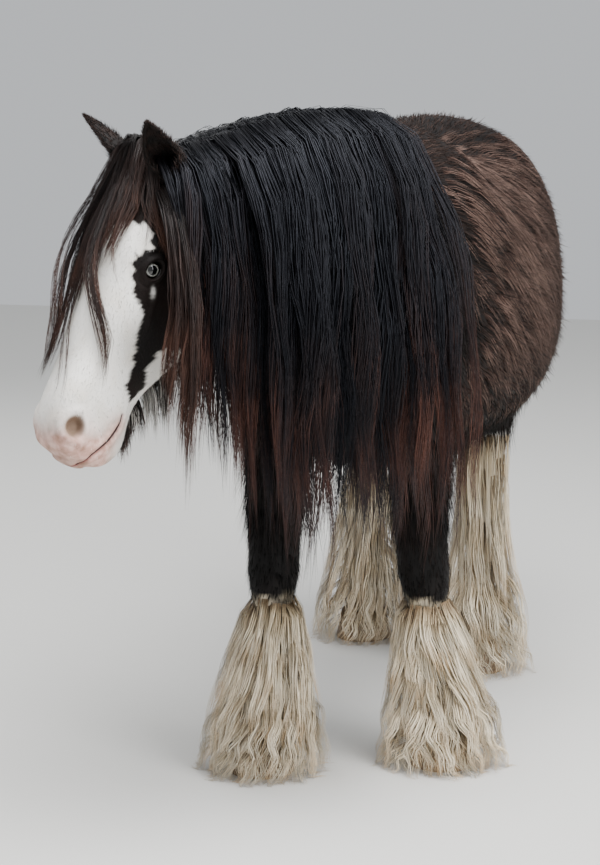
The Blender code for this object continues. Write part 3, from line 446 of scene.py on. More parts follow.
def show(name, mesh, material, nodes=()):
    """Puts a mesh into the scene as a piece that rides on the model and stands for its CAD nodes."""
    obj = bpy.data.objects.new(name, mesh)
    mesh.materials.clear()
    mesh.materials.append(material)
    bpy.context.scene.collection.objects.link(obj)
    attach(obj, "root")
    if nodes:
        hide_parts(*nodes)


def applied(obj):
    """Turns an object's modifiers into its mesh, and returns that."""
    graph = bpy.context.evaluated_depsgraph_get()
    mesh = bpy.data.meshes.new_from_object(obj.evaluated_get(graph))
    obj.modifiers.clear()
    obj.data = mesh
    return mesh


def point_values(mesh, what):
    """A mesh's points, by co, or their normals, by normal."""
    values = np.empty(len(mesh.vertices) * 3, np.float32)
    mesh.vertices.foreach_get(what, values)
    return values.reshape(-1, 3).astype(float)


# The head's frame and the markings
def head_axes():
    """The head's own directions: from poll to lips, from jaw to face, and to its left."""
    heading = np.array([-math.sin(HEAD_TURN), -math.cos(HEAD_TURN), 0])
    up = np.array([0.0, 0, 1])
    along = math.sin(HEAD_HANG) * heading - math.cos(HEAD_HANG) * up
    face = math.cos(HEAD_HANG) * heading + math.sin(HEAD_HANG) * up
    left = np.cross(up, heading)
    return np.array([along, math.cos(HEAD_TILT) * face - math.sin(HEAD_TILT) * left,
                     math.cos(HEAD_TILT) * left + math.sin(HEAD_TILT) * face])


AXES = head_axes()


def on_head(own):
    """Places in the head's own measures, carried to the stance's frame."""
    return POLL + np.asarray(own, float) @ AXES


def on_side(place, side):
    """A place on the left of the head, or with side -1 its mirror image on the right."""
    return on_head((place[0], place[1], side * place[2]))


def own_of(points):
    """Points of the stance's frame in the head's own measures."""
    return (points - POLL) @ AXES.T


def wobble(points, size, seed):
    """A smooth noise of about that size, mostly between -1 and 1: five sines in turned directions, summed."""
    draw = np.random.default_rng(900 + seed)
    total = 0
    for _ in range(5):
        way = unit(draw.normal(size=3)) * 2 * math.pi / (size * draw.uniform(0.7, 1.5))
        total = total + np.sin(points @ way + draw.uniform(0, 6))
    return total / 3.2


def dark_of_face(own, ragged):
    """1 where the head's coat is dark: behind the blaze on each side, over the poll and round the eyes."""
    along, height = own[:, 0] + ragged[:, 0], own[:, 1] + ragged[:, 1]
    above = np.interp(along, *DARK_ABOVE)
    below = np.interp(along, *DARK_BELOW)
    dark = smoothstep(-0.003, 0.003, above - height) * smoothstep(-0.003, 0.003, height - below)
    dark = dark * smoothstep(0.451, 0.445, along)
    crown = along + np.abs(own[:, 2]) * 0.10 - 0.35 * np.clip(own[:, 1] + 0.035, 0, 0.06)
    crown = smoothstep(0.130, 0.120, crown)
    ahead = own[:, 0] - 0.240
    spot = (ahead / 0.010) ** 2 + ((own[:, 1] + 0.076 + 0.4 * ahead) / 0.005) ** 2
    return np.clip(np.maximum(dark - np.exp(-(spot**1.5)) * 0.6, crown), 0, 1)


def white_of_legs(points):
    """1 where the legs are cream: below the knees in front, from the hock and higher behind."""
    hind = np.where(points[:, 0] > 0, WHITE_HIND_LEFT, WHITE_HIND_RIGHT)
    top = np.where(points[:, 1] < 0.45, WHITE_FORE, hind)
    ragged = wobble(points, 0.03, 3) * 0.012
    return smoothstep(top + 0.012, top - 0.012, points[:, 2] + ragged)


def markings(points):
    """Whiteness and blush of the coat at points, painted shade in the nostrils and along the mouth line, and a
    browner tip of the muzzle: the same rule for skin and hair.
    """
    own = own_of(points)
    ragged = np.stack([wobble(points, 0.018, 1), wobble(points, 0.022, 2)], 1) * 0.0045
    on_face = smoothstep(-0.02, 0.02, own[:, 0]) * smoothstep(0.20, 0.14, np.abs(own[:, 2]))
    on_face = on_face * smoothstep(-0.40, -0.34, own[:, 1]) * (points[:, 2] > 0.70) * (points[:, 1] < -0.36)
    white = (1 - dark_of_face(own, ragged)) * on_face * smoothstep(0.0, 0.03, own[:, 0] - 0.04)
    white = np.maximum(white, white_of_legs(points) * (points[:, 2] < 0.7))
    side = own * [1, 1, 0] + np.abs(own) * [0, 0, 1]
    nose = np.exp(-(((side - [0.555, -0.070, 0.058]) / [0.040, 0.050, 0.05]) ** 2).sum(1))
    lips = np.exp(-((mouth_distance(own) / 0.026) ** 2)) * smoothstep(0.46, 0.50, own[:, 0])
    chin = smoothstep(0.535, 0.590, own[:, 0])
    pink = np.clip(0.80 * nose + 0.9 * lips + 0.95 * chin, 0, 1) * on_face
    # Painted shade: the nostril pits darkened where shade falls in them
    pit_shade_and_brown = ((side - [NOSTRIL_AT[0], NOSTRIL_AT[1], 0.058]) / [0.0235, 0.0200, 0.03]) ** 2
    pit_shade_and_brown = np.exp(-(pit_shade_and_brown.sum(1) ** 3))
    # The tip of the muzzle takes part of the same brown tone
    pit_shade_and_brown = np.maximum(pit_shade_and_brown, 0.42 * smoothstep(0.580, 0.612, own[:, 0]) * on_face)
    # Painted shade along the groove of the mouth line
    line = np.exp(-((mouth_distance(own) / 0.0030) ** 2)) * smoothstep(0.470, 0.480, own[:, 0]) * on_face
    return white, pink, np.clip(pit_shade_and_brown * 1.2, 0, 1), line


def mouth_distance(own):
    """Distance from the line of the mouth, in the plane of the head's profile."""
    line = np.array(MOUTH_LINE)
    best = np.full(len(own), 9.0)
    for a, b in zip(line[:-1], line[1:]):
        off, way = own[:, :2] - a, b - a
        t = np.clip((off @ way) / (way @ way), 0, 1)
        best = np.minimum(best, np.linalg.norm(off - t[:, None] * way, axis=1))
    return best


# Materials
def linear(code):
    """A hex sRGB colour as linear light."""
    parts = [int(code[i:i + 2], 16) / 255 for i in (1, 3, 5)]
    return (*[c / 12.92 if c <= 0.04045 else ((c + 0.055) / 1.055) ** 2.4 for c in parts], 1.0)


def add(tree, kind, links=(), stops=(), **settings):
    """Adds one node. A link is a socket with the output or the value that goes there, and stops are the
    places and hex colours of a colour ramp. Settings go by attribute name or, as i and a number, by socket."""
    node = tree.nodes.new(kind)
    for name, value in settings.items():
        if name[0] == "i" and name[1:].isdigit():
            node.inputs[int(name[1:])].default_value = value
        else:
            setattr(node, name, value)
    for socket, source in links:
        if isinstance(source, bpy.types.NodeSocket):
            tree.links.new(source, node.inputs[socket])
        else:
            node.inputs[socket].default_value = source
    if stops:
        elements = node.color_ramp.elements
        while len(elements) < len(stops):
            elements.new(0.5)
        for element, (place, code) in zip(elements, stops):
            element.position = place
            element.color = linear(code)
    return node


def surface(name, roughness, **sockets):
    """A new material with its Principled node and node tree."""
    material = bpy.data.materials.new(name)
    material.use_nodes = True
    shader = material.node_tree.nodes["Principled BSDF"]
    shader.inputs["Roughness"].default_value = roughness
    for socket, value in sockets.items():
        shader.inputs[socket.replace("_", " ")].default_value = value
    return material, material.node_tree, shader


def hair_material(name, dark, tint, white, roughness, specular, streak=14.0, spread=(0.72, 1.25)):
    """Hair in strands: a ramp from root to tip in dark and in white hair, mixed by the markings. Each strand
    is lighter or darker by its luck within the spread, and broad patches are bleached by the sun."""
    material, tree, shader = surface(name, roughness)
    shader.inputs["Specular IOR Level"].default_value = specular
    strand = add(tree, "ShaderNodeAttribute", attribute_name="strand")
    parts = add(tree, "ShaderNodeSeparateXYZ", [(0, strand.outputs["Vector"])])
    run, luck, mark = parts.outputs
    place = add(tree, "ShaderNodeTexCoord").outputs["Object"]
    patch = add(tree, "ShaderNodeTexNoise", [("Vector", place)], i2=streak, i3=3.0).outputs[0]
    bleached = add(tree, "ShaderNodeMath", [(0, patch), (2, luck)], operation="MULTIPLY_ADD", i1=0.5)
    bleached = add(tree, "ShaderNodeMapRange", [(0, bleached.outputs[0])], i1=0.40, i2=1.10, i3=0.0, i4=1.0)
    late = add(tree, "ShaderNodeMath", [(0, patch)], operation="MULTIPLY_ADD", i1=0.55, i2=-0.42)
    late = add(tree, "ShaderNodeMath", [(0, luck), (2, late.outputs[0])], operation="MULTIPLY_ADD", i1=0.30)
    run = add(tree, "ShaderNodeMath", [(0, run), (1, late.outputs[0])], operation="ADD", use_clamp=True)
    run = run.outputs[0]
    dark, tint, white = (add(tree, "ShaderNodeValToRGB", [(0, run)], stops).outputs[0]
                         for stops in (dark, tint, white))
    colour = add(tree, "ShaderNodeMix", [(0, bleached.outputs[0]), (6, dark), (7, tint)], data_type="RGBA")
    colour = add(tree, "ShaderNodeMix", [(0, mark), (6, colour.outputs[2]), (7, white)], data_type="RGBA")
    shade = add(tree, "ShaderNodeMapRange", [(0, luck)], i1=0.0, i2=1.0, i3=spread[0], i4=spread[1])
    grey = add(tree, "ShaderNodeCombineColor", [(channel, shade.outputs[0]) for channel in range(3)])
    colour = add(tree, "ShaderNodeMix", [(0, 1.0), (6, colour.outputs[2]), (7, grey.outputs[0])],
                 data_type="RGBA", blend_type="MULTIPLY").outputs[2]
    tree.links.new(colour, shader.inputs["Base Color"])
    return material, tree, shader, colour, place


# Strands of hair
STRAND_UNDER = 0.35  # share of a hair's thickness that lies under its spine
STRAND_MAP = 0.003  # side of the patch of the map that a hair takes
DRAPE_STEPS = 24


def strand_mesh(name, spines, outs, width, thick, luck, mark, root_uv, blunt=0.0):
    """Closed thin hairs: each spine of K points carries K-1 three-cornered rings and ends in a point. Their
    width follows 0.45 + 0.55 sin of the way along and thins towards the tip, less so if blunt. width, thick,
    luck and mark have one value a hair."""
    count, steps, _ = spines.shape
    along = unit(np.gradient(spines, axis=1))
    if outs.ndim == 2:
        outs = np.repeat(outs[:, None], steps, 1)
    across = unit(np.cross(along, outs))
    out = np.cross(across, along)
    t = np.linspace(0, 1, steps)[:-1]
    full = (0.45 + 0.55 * np.sin(np.pi * np.clip(t * 1.1 + 0.12, 0, 1))) * (1 - (1 - blunt) * t**2.2 * 0.85)
    w = (width[:, None] * full[None])[..., None] / 2
    h = (thick[:, None] * (1 - 0.5 * t)[None])[..., None]
    base = spines[:, :-1]
    a, o = across[:, :-1], out[:, :-1]
    under, over = o * h * STRAND_UNDER, o * h * (1 - STRAND_UNDER)
    rings = np.stack([base + a * w - under, base + over, base - a * w - under], 2)
    points = np.concatenate([rings.reshape(count, -1, 3), spines[:, -1:]], 1)
    size = 3 * (steps - 1) + 1
    k = (np.arange(steps - 2) * 3)[:, None]
    j, n = np.arange(3), (np.arange(3) + 1) % 3
    quads = np.stack([k + j, k + 3 + j, k + 3 + n, k + n], -1).reshape(-1, 4)
    last = (steps - 2) * 3
    tris = np.concatenate([[[0, 1, 2]], np.stack([last + j, np.full(3, size - 1), last + n], 1)])
    first = (np.arange(count) * size)[:, None, None]
    mesh = mesh_of(name, points.reshape(-1, 3) + SHIFT, quads[None] + first, tris[None] + first)
    run = np.concatenate([np.repeat(t, 3), [1.0]])
    vector_attribute(mesh, "strand", *np.broadcast_arrays(run[None, :], luck[:, None], mark[:, None]))
    corner = np.concatenate([np.tile([0.0, 0.5, 1.0], steps - 1), [0.5]])
    uv = [root_uv[:, 0:1] + STRAND_MAP * corner[None], root_uv[:, 1:2] + STRAND_MAP * run[None]]
    uv = np.stack(uv, -1).reshape(-1, 2)
    loops = np.empty(len(mesh.loops), np.int32)
    mesh.loops.foreach_get("vertex_index", loops)
    layer = mesh.uv_layers.new(name="OFBake")
    layer.data.foreach_set("uv", uv[loops].astype(np.float32).ravel())
    return mesh


def turn_share(x, y):
    """A direction as a share of a full turn."""
    return np.arctan2(x, y) / (2 * np.pi) + 0.5


def unwrap(points):
    """The place of points on an unwrap of the skin: trunk and neck by length and turn, each leg and the head
    in a tile of its own."""
    own = own_of(points)
    turn = turn_share(points[:, 0], points[:, 2] - 1.0)
    uv = np.stack([0.02 + 0.54 * np.clip((points[:, 1] + 0.6) / 2.1, 0, 1), 0.02 + 0.95 * turn], 1)
    for k, (_, foot, _, _) in enumerate(LEGS):
        x, y = points[:, 0] - foot[0], points[:, 1] - foot[1]
        near = (points[:, 2] < 0.62) & (np.hypot(x, y) < 0.30)
        leg = np.stack([0.60 + 0.095 * (k + 0.9 * turn_share(x, y)), 0.02 + 0.70 * points[:, 2]], 1)
        uv = np.where(near[:, None], leg, uv)
    on = (own[:, 0] > 0.0) & (np.abs(own[:, 2]) < 0.15) & (own[:, 1] > -0.33) & (points[:, 1] < -0.3)
    turn = turn_share(own[:, 2], own[:, 1] + 0.12)
    tile = np.stack([0.60 + 0.38 * turn, 0.52 + 0.45 * np.clip(own[:, 0] / 0.62, 0, 1)], 1)
    return np.where(on[:, None], tile, uv)


def along_guides(guides, which, reach, steps):
    """Points at even steps down to a share of guide lines, with whole-array linear interpolation."""
    knots = guides.shape[1] - 1
    at = np.linspace(0, 1, steps)[None, :] * reach[:, None] * knots
    low = np.minimum(at.astype(int), knots - 1)
    part = (at - low)[..., None]
    return guides[which[:, None], low] * (1 - part) + guides[which[:, None], low + 1] * part


def locks_of(lines, outs, each, wide, deep, steps, draw, gather,
             wave=0.0, beat=0.1, shortest=0.72, jitter=0.5):
    """Strands in locks: each guide line carries strands spread over its width and depth, that draw together
    towards the tip. A strand's offset is across * a * W * spread(t) + out * b * D, and waves go down it."""
    count = len(lines)
    which = np.repeat(np.arange(count), each)
    a = draw.uniform(-1, 1, len(which))
    b = draw.uniform(0, 1, len(which)) ** 1.3
    reach = draw.uniform(shortest, 1.0, len(which)) * (1 - 0.10 * np.abs(a))
    spine = along_guides(lines, which, reach, steps)
    normal = unit(along_guides(outs, which, reach, steps))
    along = unit(np.gradient(spine, axis=1))
    across = unit(np.cross(along, normal))
    t = (np.linspace(0, 1, steps)[None] * reach[:, None])[..., None]
    spread = 1 - (1 - gather) * t**2.2
    lift = np.clip(t * 6, 0, 1)
    spine = spine + across * (a[:, None, None] * wide[which][:, None, None] / 2 * spread)
    spine = spine + normal * (b[:, None, None] * deep * lift * (1 - 0.45 * t))
    if wave:
        length = np.linalg.norm(np.diff(lines, axis=1), axis=2).sum(1)[which][:, None, None]
        phase = draw.uniform(0, 6.28, count)[which] + draw.normal(0, jitter, len(which)) + a * 1.6 * jitter
        swing = 2 * np.pi * t * length / beat + phase[:, None, None]
        spine = spine + across * wave * np.clip(t * 2.2, 0, 1) * np.sin(swing)
        spine = spine + normal * 0.5 * wave * np.clip(t * 2.2, 0, 1) * np.sin(swing + 1.3)
    stray = draw.normal(0, 1, (len(which), 1, 2))
    spine = spine + across * stray[..., :1] * 0.004 * t**2 + normal * np.abs(stray[..., 1:]) * 0.003 * t**2
    return spine, normal, which, a


def drape(root, heading, length, clear, limp):
    """The line of hair that leaves a root, bends down under its own weight and lies on what it meets."""
    step = length / DRAPE_STEPS
    at, way = Vector(root), Vector(heading).normalized()
    line, normals = [at.copy()], []
    for k in range(DRAPE_STEPS):
        way = (way * (1 - limp) + Vector((0, 0, -1)) * limp).normalized()
        ahead = at + way * step
        near, normal, _, _ = PIECES["tree"].find_nearest(ahead)
        lift = clear * min(1.0, (k + 1) / 4)
        if (ahead - near).dot(normal) < lift:
            ahead = near + normal * lift
        way = (ahead - at).normalized()
        at = ahead
        line.append(at.copy())
        normals.append(normal.copy())
    return np.array(line), np.array([normals[0], *normals])


def show_strands(name, material, spines, outs, width, thick, mark, uv, draw,
                 pieces=1, luck=None, blunt=0.0):
    """Makes one or several pieces of hair from the same strands, split so that each stays light. A width, a
    thickness or a whiteness may be one number for all of them."""
    count = len(spines)
    width, thick, mark = (np.broadcast_to(value, count) for value in (width, thick, mark))
    if luck is None:
        luck = draw.uniform(0, 1, count)
    for k, part in enumerate(np.array_split(np.arange(count), pieces)):
        label = name if pieces == 1 else f"{name}_{k + 1}"
        values = (value[part] for value in (spines, outs, width, thick, luck, mark, uv))
        show(label, strand_mesh(label, *values, blunt), material)


# Add-on properties
class HorseCoat(bpy.types.PropertyGroup):
    """Sizes of the coat"""
    depth: bpy.props.FloatProperty(
        name="Coat depth", description="How far the skin lies inside the model's body", default=0.010,
        unit="LENGTH")
    length: bpy.props.FloatProperty(
        name="Hair length", description="Length of the winter coat on the flank", default=0.064,
        unit="LENGTH")
    tufts: bpy.props.IntProperty(
        name="Body tufts", description="Tufts on trunk, neck and legs", default=60000)
    face_length: bpy.props.FloatProperty(
        name="Face hair", description="Length of the hair on the face", default=0.0085, unit="LENGTH")
    face_tufts: bpy.props.IntProperty(
        name="Face tufts", description="Tufts on the head", default=18000)


class HorseColours(bpy.types.PropertyGroup):
    """Colours of the finishes"""
    floor: bpy.props.FloatVectorProperty(
        name="Floor", description="Colour of the studio floor", default=linear("#d9d8d4")[:3],
        subtype="COLOR")
    sky: bpy.props.FloatVectorProperty(
        name="Light", description="Colour of the soft light all round", default=linear("#eef1f5")[:3],
        subtype="COLOR")


# Pieces
def body_surface(depth):
    """Trunk, neck and legs as lofts of sections, made one even skin and drawn in by the coat's depth."""
    trunk = [section((0, y, mid), (1, 0, 0), (0, 0, 1), half, top - mid, mid - bottom)
             for y, top, bottom, half, mid in TRUNK]
    angle = full_turn(64)
    pieces = [closed_grid(ring_grid(smooth_rows(trunk, 60), 2.2, angle))]
    rows = []
    for crest, throat, half in NECK:
        crest, throat = np.array(crest), np.array(throat)
        up = unit(crest - throat)
        lateral = unit(np.cross(up, np.array([-0.42, -0.90, -0.05])))
        tall = np.linalg.norm(crest - throat) / 2
        rows.append(section((crest + throat) / 2, lateral, up, half, tall, tall))
    pieces.append(closed_grid(ring_grid(smooth_rows(rows, 40), 2.1, angle)))
    for _, foot, top, hind in LEGS:
        rows = []
        for height, share, rear, half, deep in HINDLEG if hind else FORELEG:
            x, y = np.array(foot) * (1 - share) + np.array(top) * share
            rows.append(section((x, y + rear, height), (1, 0, 0), (0, 1, 0), half, deep, deep))
        pieces.append(closed_grid(ring_grid(smooth_rows(rows, 70), 2.1, angle[::2])))
    body = bpy.data.objects.new("body_form", mesh_of("body_form", *joined(pieces)))
    bpy.context.scene.collection.objects.link(body)
    remesh = body.modifiers.new("even_cells", "REMESH")
    remesh.mode = "VOXEL"
    remesh.voxel_size = 0.0115
    relax = body.modifiers.new("soft_joins", "SMOOTH")
    relax.factor = 0.5
    relax.iterations = 18
    mesh = applied(body)
    at = point_values(mesh, "co")
    inward = depth * (0.5 * smoothstep(0.05, 0.35, at[:, 2]) + 0.5 * smoothstep(0.50, 0.85, at[:, 2]))
    at -= point_values(mesh, "normal") * inward[:, None]
    mesh.vertices.foreach_set("co", at.astype(np.float32).ravel())
    return body


def head_surface(depth):
    """The head: superellipse sections from poll to lips with swellings, closer rings at eyes and muzzle, then
    sockets, nostrils and the mouth pressed in as smooth functions of the place on the head."""
    a, f, s = AXES
    rows = []
    for place, top, bottom, half in HEAD:
        widest = top + (bottom - top) * 0.34
        rows.append(section(POLL + a * place + f * widest, s, f, half, top - widest, widest - bottom))
    at = np.concatenate([np.linspace(0, 2.9, 18, endpoint=False), np.linspace(2.9, 5.1, 74, endpoint=False),
                         np.linspace(5.1, 8.4, 34, endpoint=False), np.linspace(8.4, 12, 76)])
    rows = smooth_rows(rows, at)
    turn = full_turn(180)
    grid = ring_grid(rows, 2.35, turn - 0.30 * np.sin(2 * turn))
    middle = grid[-1].mean(0)
    dome = [middle + (grid[-1] - middle) * math.cos(q) + a * 0.010 * math.sin(q)
            for q in np.linspace(0.2, 1.45, 8)]
    grid = np.concatenate([grid, dome])
    own = own_of(grid.reshape(-1, 3))
    away = unit(own - np.stack([own[:, 0], np.full(len(own), -0.08), np.zeros(len(own))], 1))
    for along, height, left, spread, push in SWELLINGS:
        for side in (1, -1) if left else (1,):
            off = own - np.array((along, height, side * left))
            own = own + away * (push * np.exp(-(off**2).sum(1) / (2 * spread**2)))[:, None]
    own = own - away * depth
    side = np.sign(own[:, 2])
    for along, height, spread_a, spread_f, push in FURROWS:
        ahead = own[:, 0] - along
        shape = np.exp(-((ahead / spread_a) ** 2 + ((own[:, 1] - height + ahead * 0.25) / spread_f) ** 2))
        own = own + away * (push * shape * smoothstep(0.02, 0.05, np.abs(own[:, 2])))[:, None]
    # eye: the opening pressed in behind the ball, a raised rim, a groove round that and a fold above it
    da, df = own[:, 0] - EYE_AT[0], own[:, 1] - EYE_AT[1]
    da, df = da * 0.97 + df * 0.24, df * 0.97 - da * 0.24
    near = smoothstep(0.05, 0.08, np.abs(own[:, 2]))
    q = np.sqrt((da / 0.0185) ** 2 + (df / 0.0145) ** 2)
    own = own - away * (0.016 * smoothstep(1.04, 0.80, q) * near)[:, None]
    own = own + away * (0.0045 * np.exp(-((q - 1.28) / 0.22) ** 2) * near)[:, None]
    own = own - away * (0.0020 * np.exp(-((q - 1.95) / 0.16) ** 2) * near)[:, None]
    fold = np.exp(-(((da + 0.002) / 0.030) ** 2 + ((df - 0.026) / 0.008) ** 2))
    own = own + away * (0.0035 * fold * near)[:, None]
    # nostril: a slanting comma-shaped pit with a full rim
    da, df = own[:, 0] - NOSTRIL_AT[0], own[:, 1] - NOSTRIL_AT[1]
    da, df = da * 0.94 - df * 0.33, df * 0.94 + da * 0.33
    near = smoothstep(0.030, 0.045, np.abs(own[:, 2]))
    q = np.sqrt((da / 0.0235) ** 2 + ((df + 7 * da**2) / 0.0190) ** 2)
    inward = -np.stack([np.zeros(len(own)), np.full(len(own), 0.25), side], 1)
    own = own + inward * (0.021 * smoothstep(1.05, 0.35, q) * near)[:, None]
    own = own + away * (0.0040 * np.exp(-((q - 1.35) / 0.35) ** 2) * near)[:, None]
    # mouth: a groove along its line, the lips full on both sides of it, wrinkles at its corner
    d = mouth_distance(own)
    front = smoothstep(0.470, 0.482, own[:, 0])
    own = own - away * (0.0055 * np.exp(-((d / 0.0026) ** 2)) * front)[:, None]
    own = own + away * (0.0030 * np.exp(-(((d - 0.010) / 0.006) ** 2)) * front)[:, None]
    corner = np.hypot(own[:, 0] - 0.474, own[:, 1] + 0.144)
    folds = np.sin(corner * 900) * np.exp(-((corner / 0.022) ** 2))
    folds = folds * smoothstep(0.03, 0.05, np.abs(own[:, 2]))
    own = own + away * (0.0010 * folds)[:, None]
    return closed_grid(on_head(own).reshape(grid.shape))


def skin_material():
    """Short-haired hide: black under the dark coat, cream under the feather, white on the face, pink and bare
    at nostrils and lips, in a pink darkened to paint the shade under the muzzle. Painted shade darkens the
    nostril pits and the mouth line, and the tip of the muzzle is browner. Its finest hair is a streaked bump."""
    material, tree, shader, colour, place = hair_material(
        "winter hide", [(0.0, "#070606"), (1.0, "#0d0a0a")], [(0.0, "#0b0808"), (1.0, "#1a120f")],
        [(0.0, "#c3b499"), (0.5, "#ddd3c3"), (0.9, "#f3f0ea")], 0.62, 0.14)
    bare = add(tree, "ShaderNodeAttribute", attribute_name="bare")
    parts = add(tree, "ShaderNodeSeparateXYZ", [(0, bare.outputs["Vector"])])
    freckle = add(tree, "ShaderNodeTexNoise", [("Vector", place)], i2=45.0, i3=5.0)
    # The pink of nostrils, lips and chin, freckled, and darkened as painted shade of the muzzle's underside
    pink_with_shade = add(tree, "ShaderNodeValToRGB", [(0, freckle.outputs[0])],
                [(0.30, "#9a7866"), (0.47, "#bf988c"), (0.66, "#dfbdb2")])
    # Over the hair's colour go the pink skin, the painted shade of the nostril pits with the muzzle's browner
    # tip, and the painted shade of the mouth line
    for mark, tone in zip(parts.outputs, (pink_with_shade.outputs[0], linear("#7d6858"), linear("#7d4a45"))):
        colour = add(tree, "ShaderNodeMix", [(0, mark), (6, colour), (7, tone)], data_type="RGBA").outputs[2]
    tree.links.new(colour, shader.inputs["Base Color"])
    streaks = add(tree, "ShaderNodeMapping", [(0, place)], i3=(900.0, 900.0, 160.0))
    fine = add(tree, "ShaderNodeTexNoise", [("Vector", streaks.outputs[0])], i2=1.0)
    bump = add(tree, "ShaderNodeBump", [("Height", fine.outputs[0])], i0=0.35, i1=0.0012)
    tree.links.new(bump.outputs[0], shader.inputs["Normal"])
    return material


def lip_crease_shade(side):
    """A thin dark tube in the groove between the lips on one side, found by rays from beside: painted shade in
    the crease of the mouth.
    """
    places = smooth_rows(MOUTH_LINE[:-1], 60)
    rows = []
    for along, height in places:
        start = on_head((along, height, side * 0.2))
        hit, _, _, _ = PIECES["tree"].ray_cast(Vector(start), Vector(-AXES[2] * side))
        if hit is not None:
            rows.append(np.array(hit))
    rows = np.array(rows)
    for _ in range(4):
        rows[1:-1] = (rows[:-2] + 2 * rows[1:-1] + rows[2:]) / 4
    t = np.linspace(0, 1, len(rows))
    size = (0.0017 * np.sin(np.pi * np.clip(0.08 + 0.9 * t, 0, 1)) ** 0.5)[:, None, None]
    along = unit(np.gradient(rows, axis=0))
    over = unit(np.cross(along, AXES[2]))
    out = np.cross(over, along)
    turn = full_turn(8)[None, :, None]
    return closed_grid(rows[:, None] + size * (over[:, None] * np.cos(turn) + out[:, None] * np.sin(turn)))


class HORSE_OT_skin(bpy.types.Operator):
    """One skin over head, neck, trunk and legs, drawn in by the depth of the coat"""
    bl_idname = "horse.skin"
    bl_label = "Skin"

    def execute(self, context):
        coat = context.scene.horse_coat
        body = body_surface(coat.depth)
        head = bpy.data.objects.new("head_form", mesh_of("head_form", *head_surface(0.0015)))
        context.scene.collection.objects.link(head)
        fuse = body.modifiers.new("with_head", "BOOLEAN")
        fuse.operation, fuse.solver, fuse.object = "UNION", "MANIFOLD", head
        mesh = applied(body).copy()
        bpy.data.objects.remove(body)
        bpy.data.objects.remove(head)
        mesh.polygons.foreach_set("use_smooth", np.ones(len(mesh.polygons), bool))
        at = point_values(mesh, "co")
        PIECES["skin_points"], PIECES["skin_normals"] = at, point_values(mesh, "normal")
        mesh.calc_loop_triangles()
        tris = np.empty(len(mesh.loop_triangles) * 3, np.int32)
        mesh.loop_triangles.foreach_get("vertices", tris)
        PIECES["skin_tris"] = tris.reshape(-1, 3)
        PIECES["tree"] = BVHTree.FromPolygons([Vector(p) for p in at], PIECES["skin_tris"].tolist())
        white, pink, pit_shade_and_brown, line = markings(at)
        low = at[:, 2] < 0.6
        run = np.where(low, 0.10, 0.90) + 0.1 * wobble(at, 0.05, 7)
        vector_attribute(mesh, "strand", run, 0.45 + 0.25 * wobble(at, 0.12, 8), white)
        # The bare marks: pink skin, painted shade in the nostrils and along the mouth line, and the muzzle's
        # browner tip
        vector_attribute(mesh, "bare", pink, pit_shade_and_brown, line)
        mesh.vertices.foreach_set("co", (at + SHIFT).astype(np.float32).ravel())
        nodes = ["head", "neck_upper", "neck_lower", "forequarters", "barrel", "hindquarters"]
        nodes += [f"{name}_{part}" for name, *_ in LEGS for part in ("upper", "lower")]
        show("skin", mesh, skin_material(), nodes)
        # Thin dark tubes in the mouth's groove: painted shade of the lip crease
        points, quads, tris = joined([lip_crease_shade(side) for side in (1, -1)])
        material, _, _ = surface("painted shade of the lip crease", 0.55, Base_Color=linear("#2f1a18"))
        show("lip_crease_shade", mesh_of("lip_crease_shade", points + SHIFT, quads, tris), material)
        return {"FINISHED"}


def eye_material():
    """Wet eyeball: glossy, with a dark round pupil, a pale grey iris and a brown-black rim."""
    material, tree, shader = surface("wet eye", 0.06, Coat_Weight=1.0, Coat_Roughness=0.03, IOR=1.38)
    polar = add(tree, "ShaderNodeAttribute", attribute_name="strand")
    parts = add(tree, "ShaderNodeSeparateXYZ", [(0, polar.outputs["Vector"])])
    colour = add(tree, "ShaderNodeValToRGB", [(0, parts.outputs[0])], [
        (0.0, "#030304"), (0.52, "#060607"), (0.58, "#7d7e79"), (0.70, "#a9aaa4"), (0.78, "#4a4540"),
        (0.86, "#17100d"), (1.0, "#120c0a")])
    tree.links.new(colour.outputs[0], shader.inputs["Base Color"])
    return material


def lid_material():
    """Bare dark skin of the eyelids: a little moist, and finely creased."""
    material, tree, shader = surface("dark eyelid skin", 0.38, Base_Color=linear("#120d0c"))
    place = add(tree, "ShaderNodeTexCoord").outputs["Object"]
    crease = add(tree, "ShaderNodeTexNoise", [("Vector", place)], i2=420.0)
    bump = add(tree, "ShaderNodeBump", [("Height", crease.outputs[0])], i1=0.0008)
    tree.links.new(bump.outputs[0], shader.inputs["Normal"])
    return material


def ball_grid(centre, radius, pole, long_way):
    """A sphere in rings round its pole; returns points and the share of the way from the front."""
    pole = unit(np.asarray(pole, float))
    one = unit(long_way - pole * (long_way @ pole))
    two = np.cross(pole, one)
    t = np.linspace(0.02, np.pi - 0.02, 40)[:, None]
    u = full_turn(56)[None, :]
    way = np.cos(t)[..., None] * pole + (np.sin(t) * np.cos(u))[..., None] * one
    way = way + (np.sin(t) * np.sin(u))[..., None] * two
    return centre + radius * way, np.repeat(t / np.pi, u.size, 1)


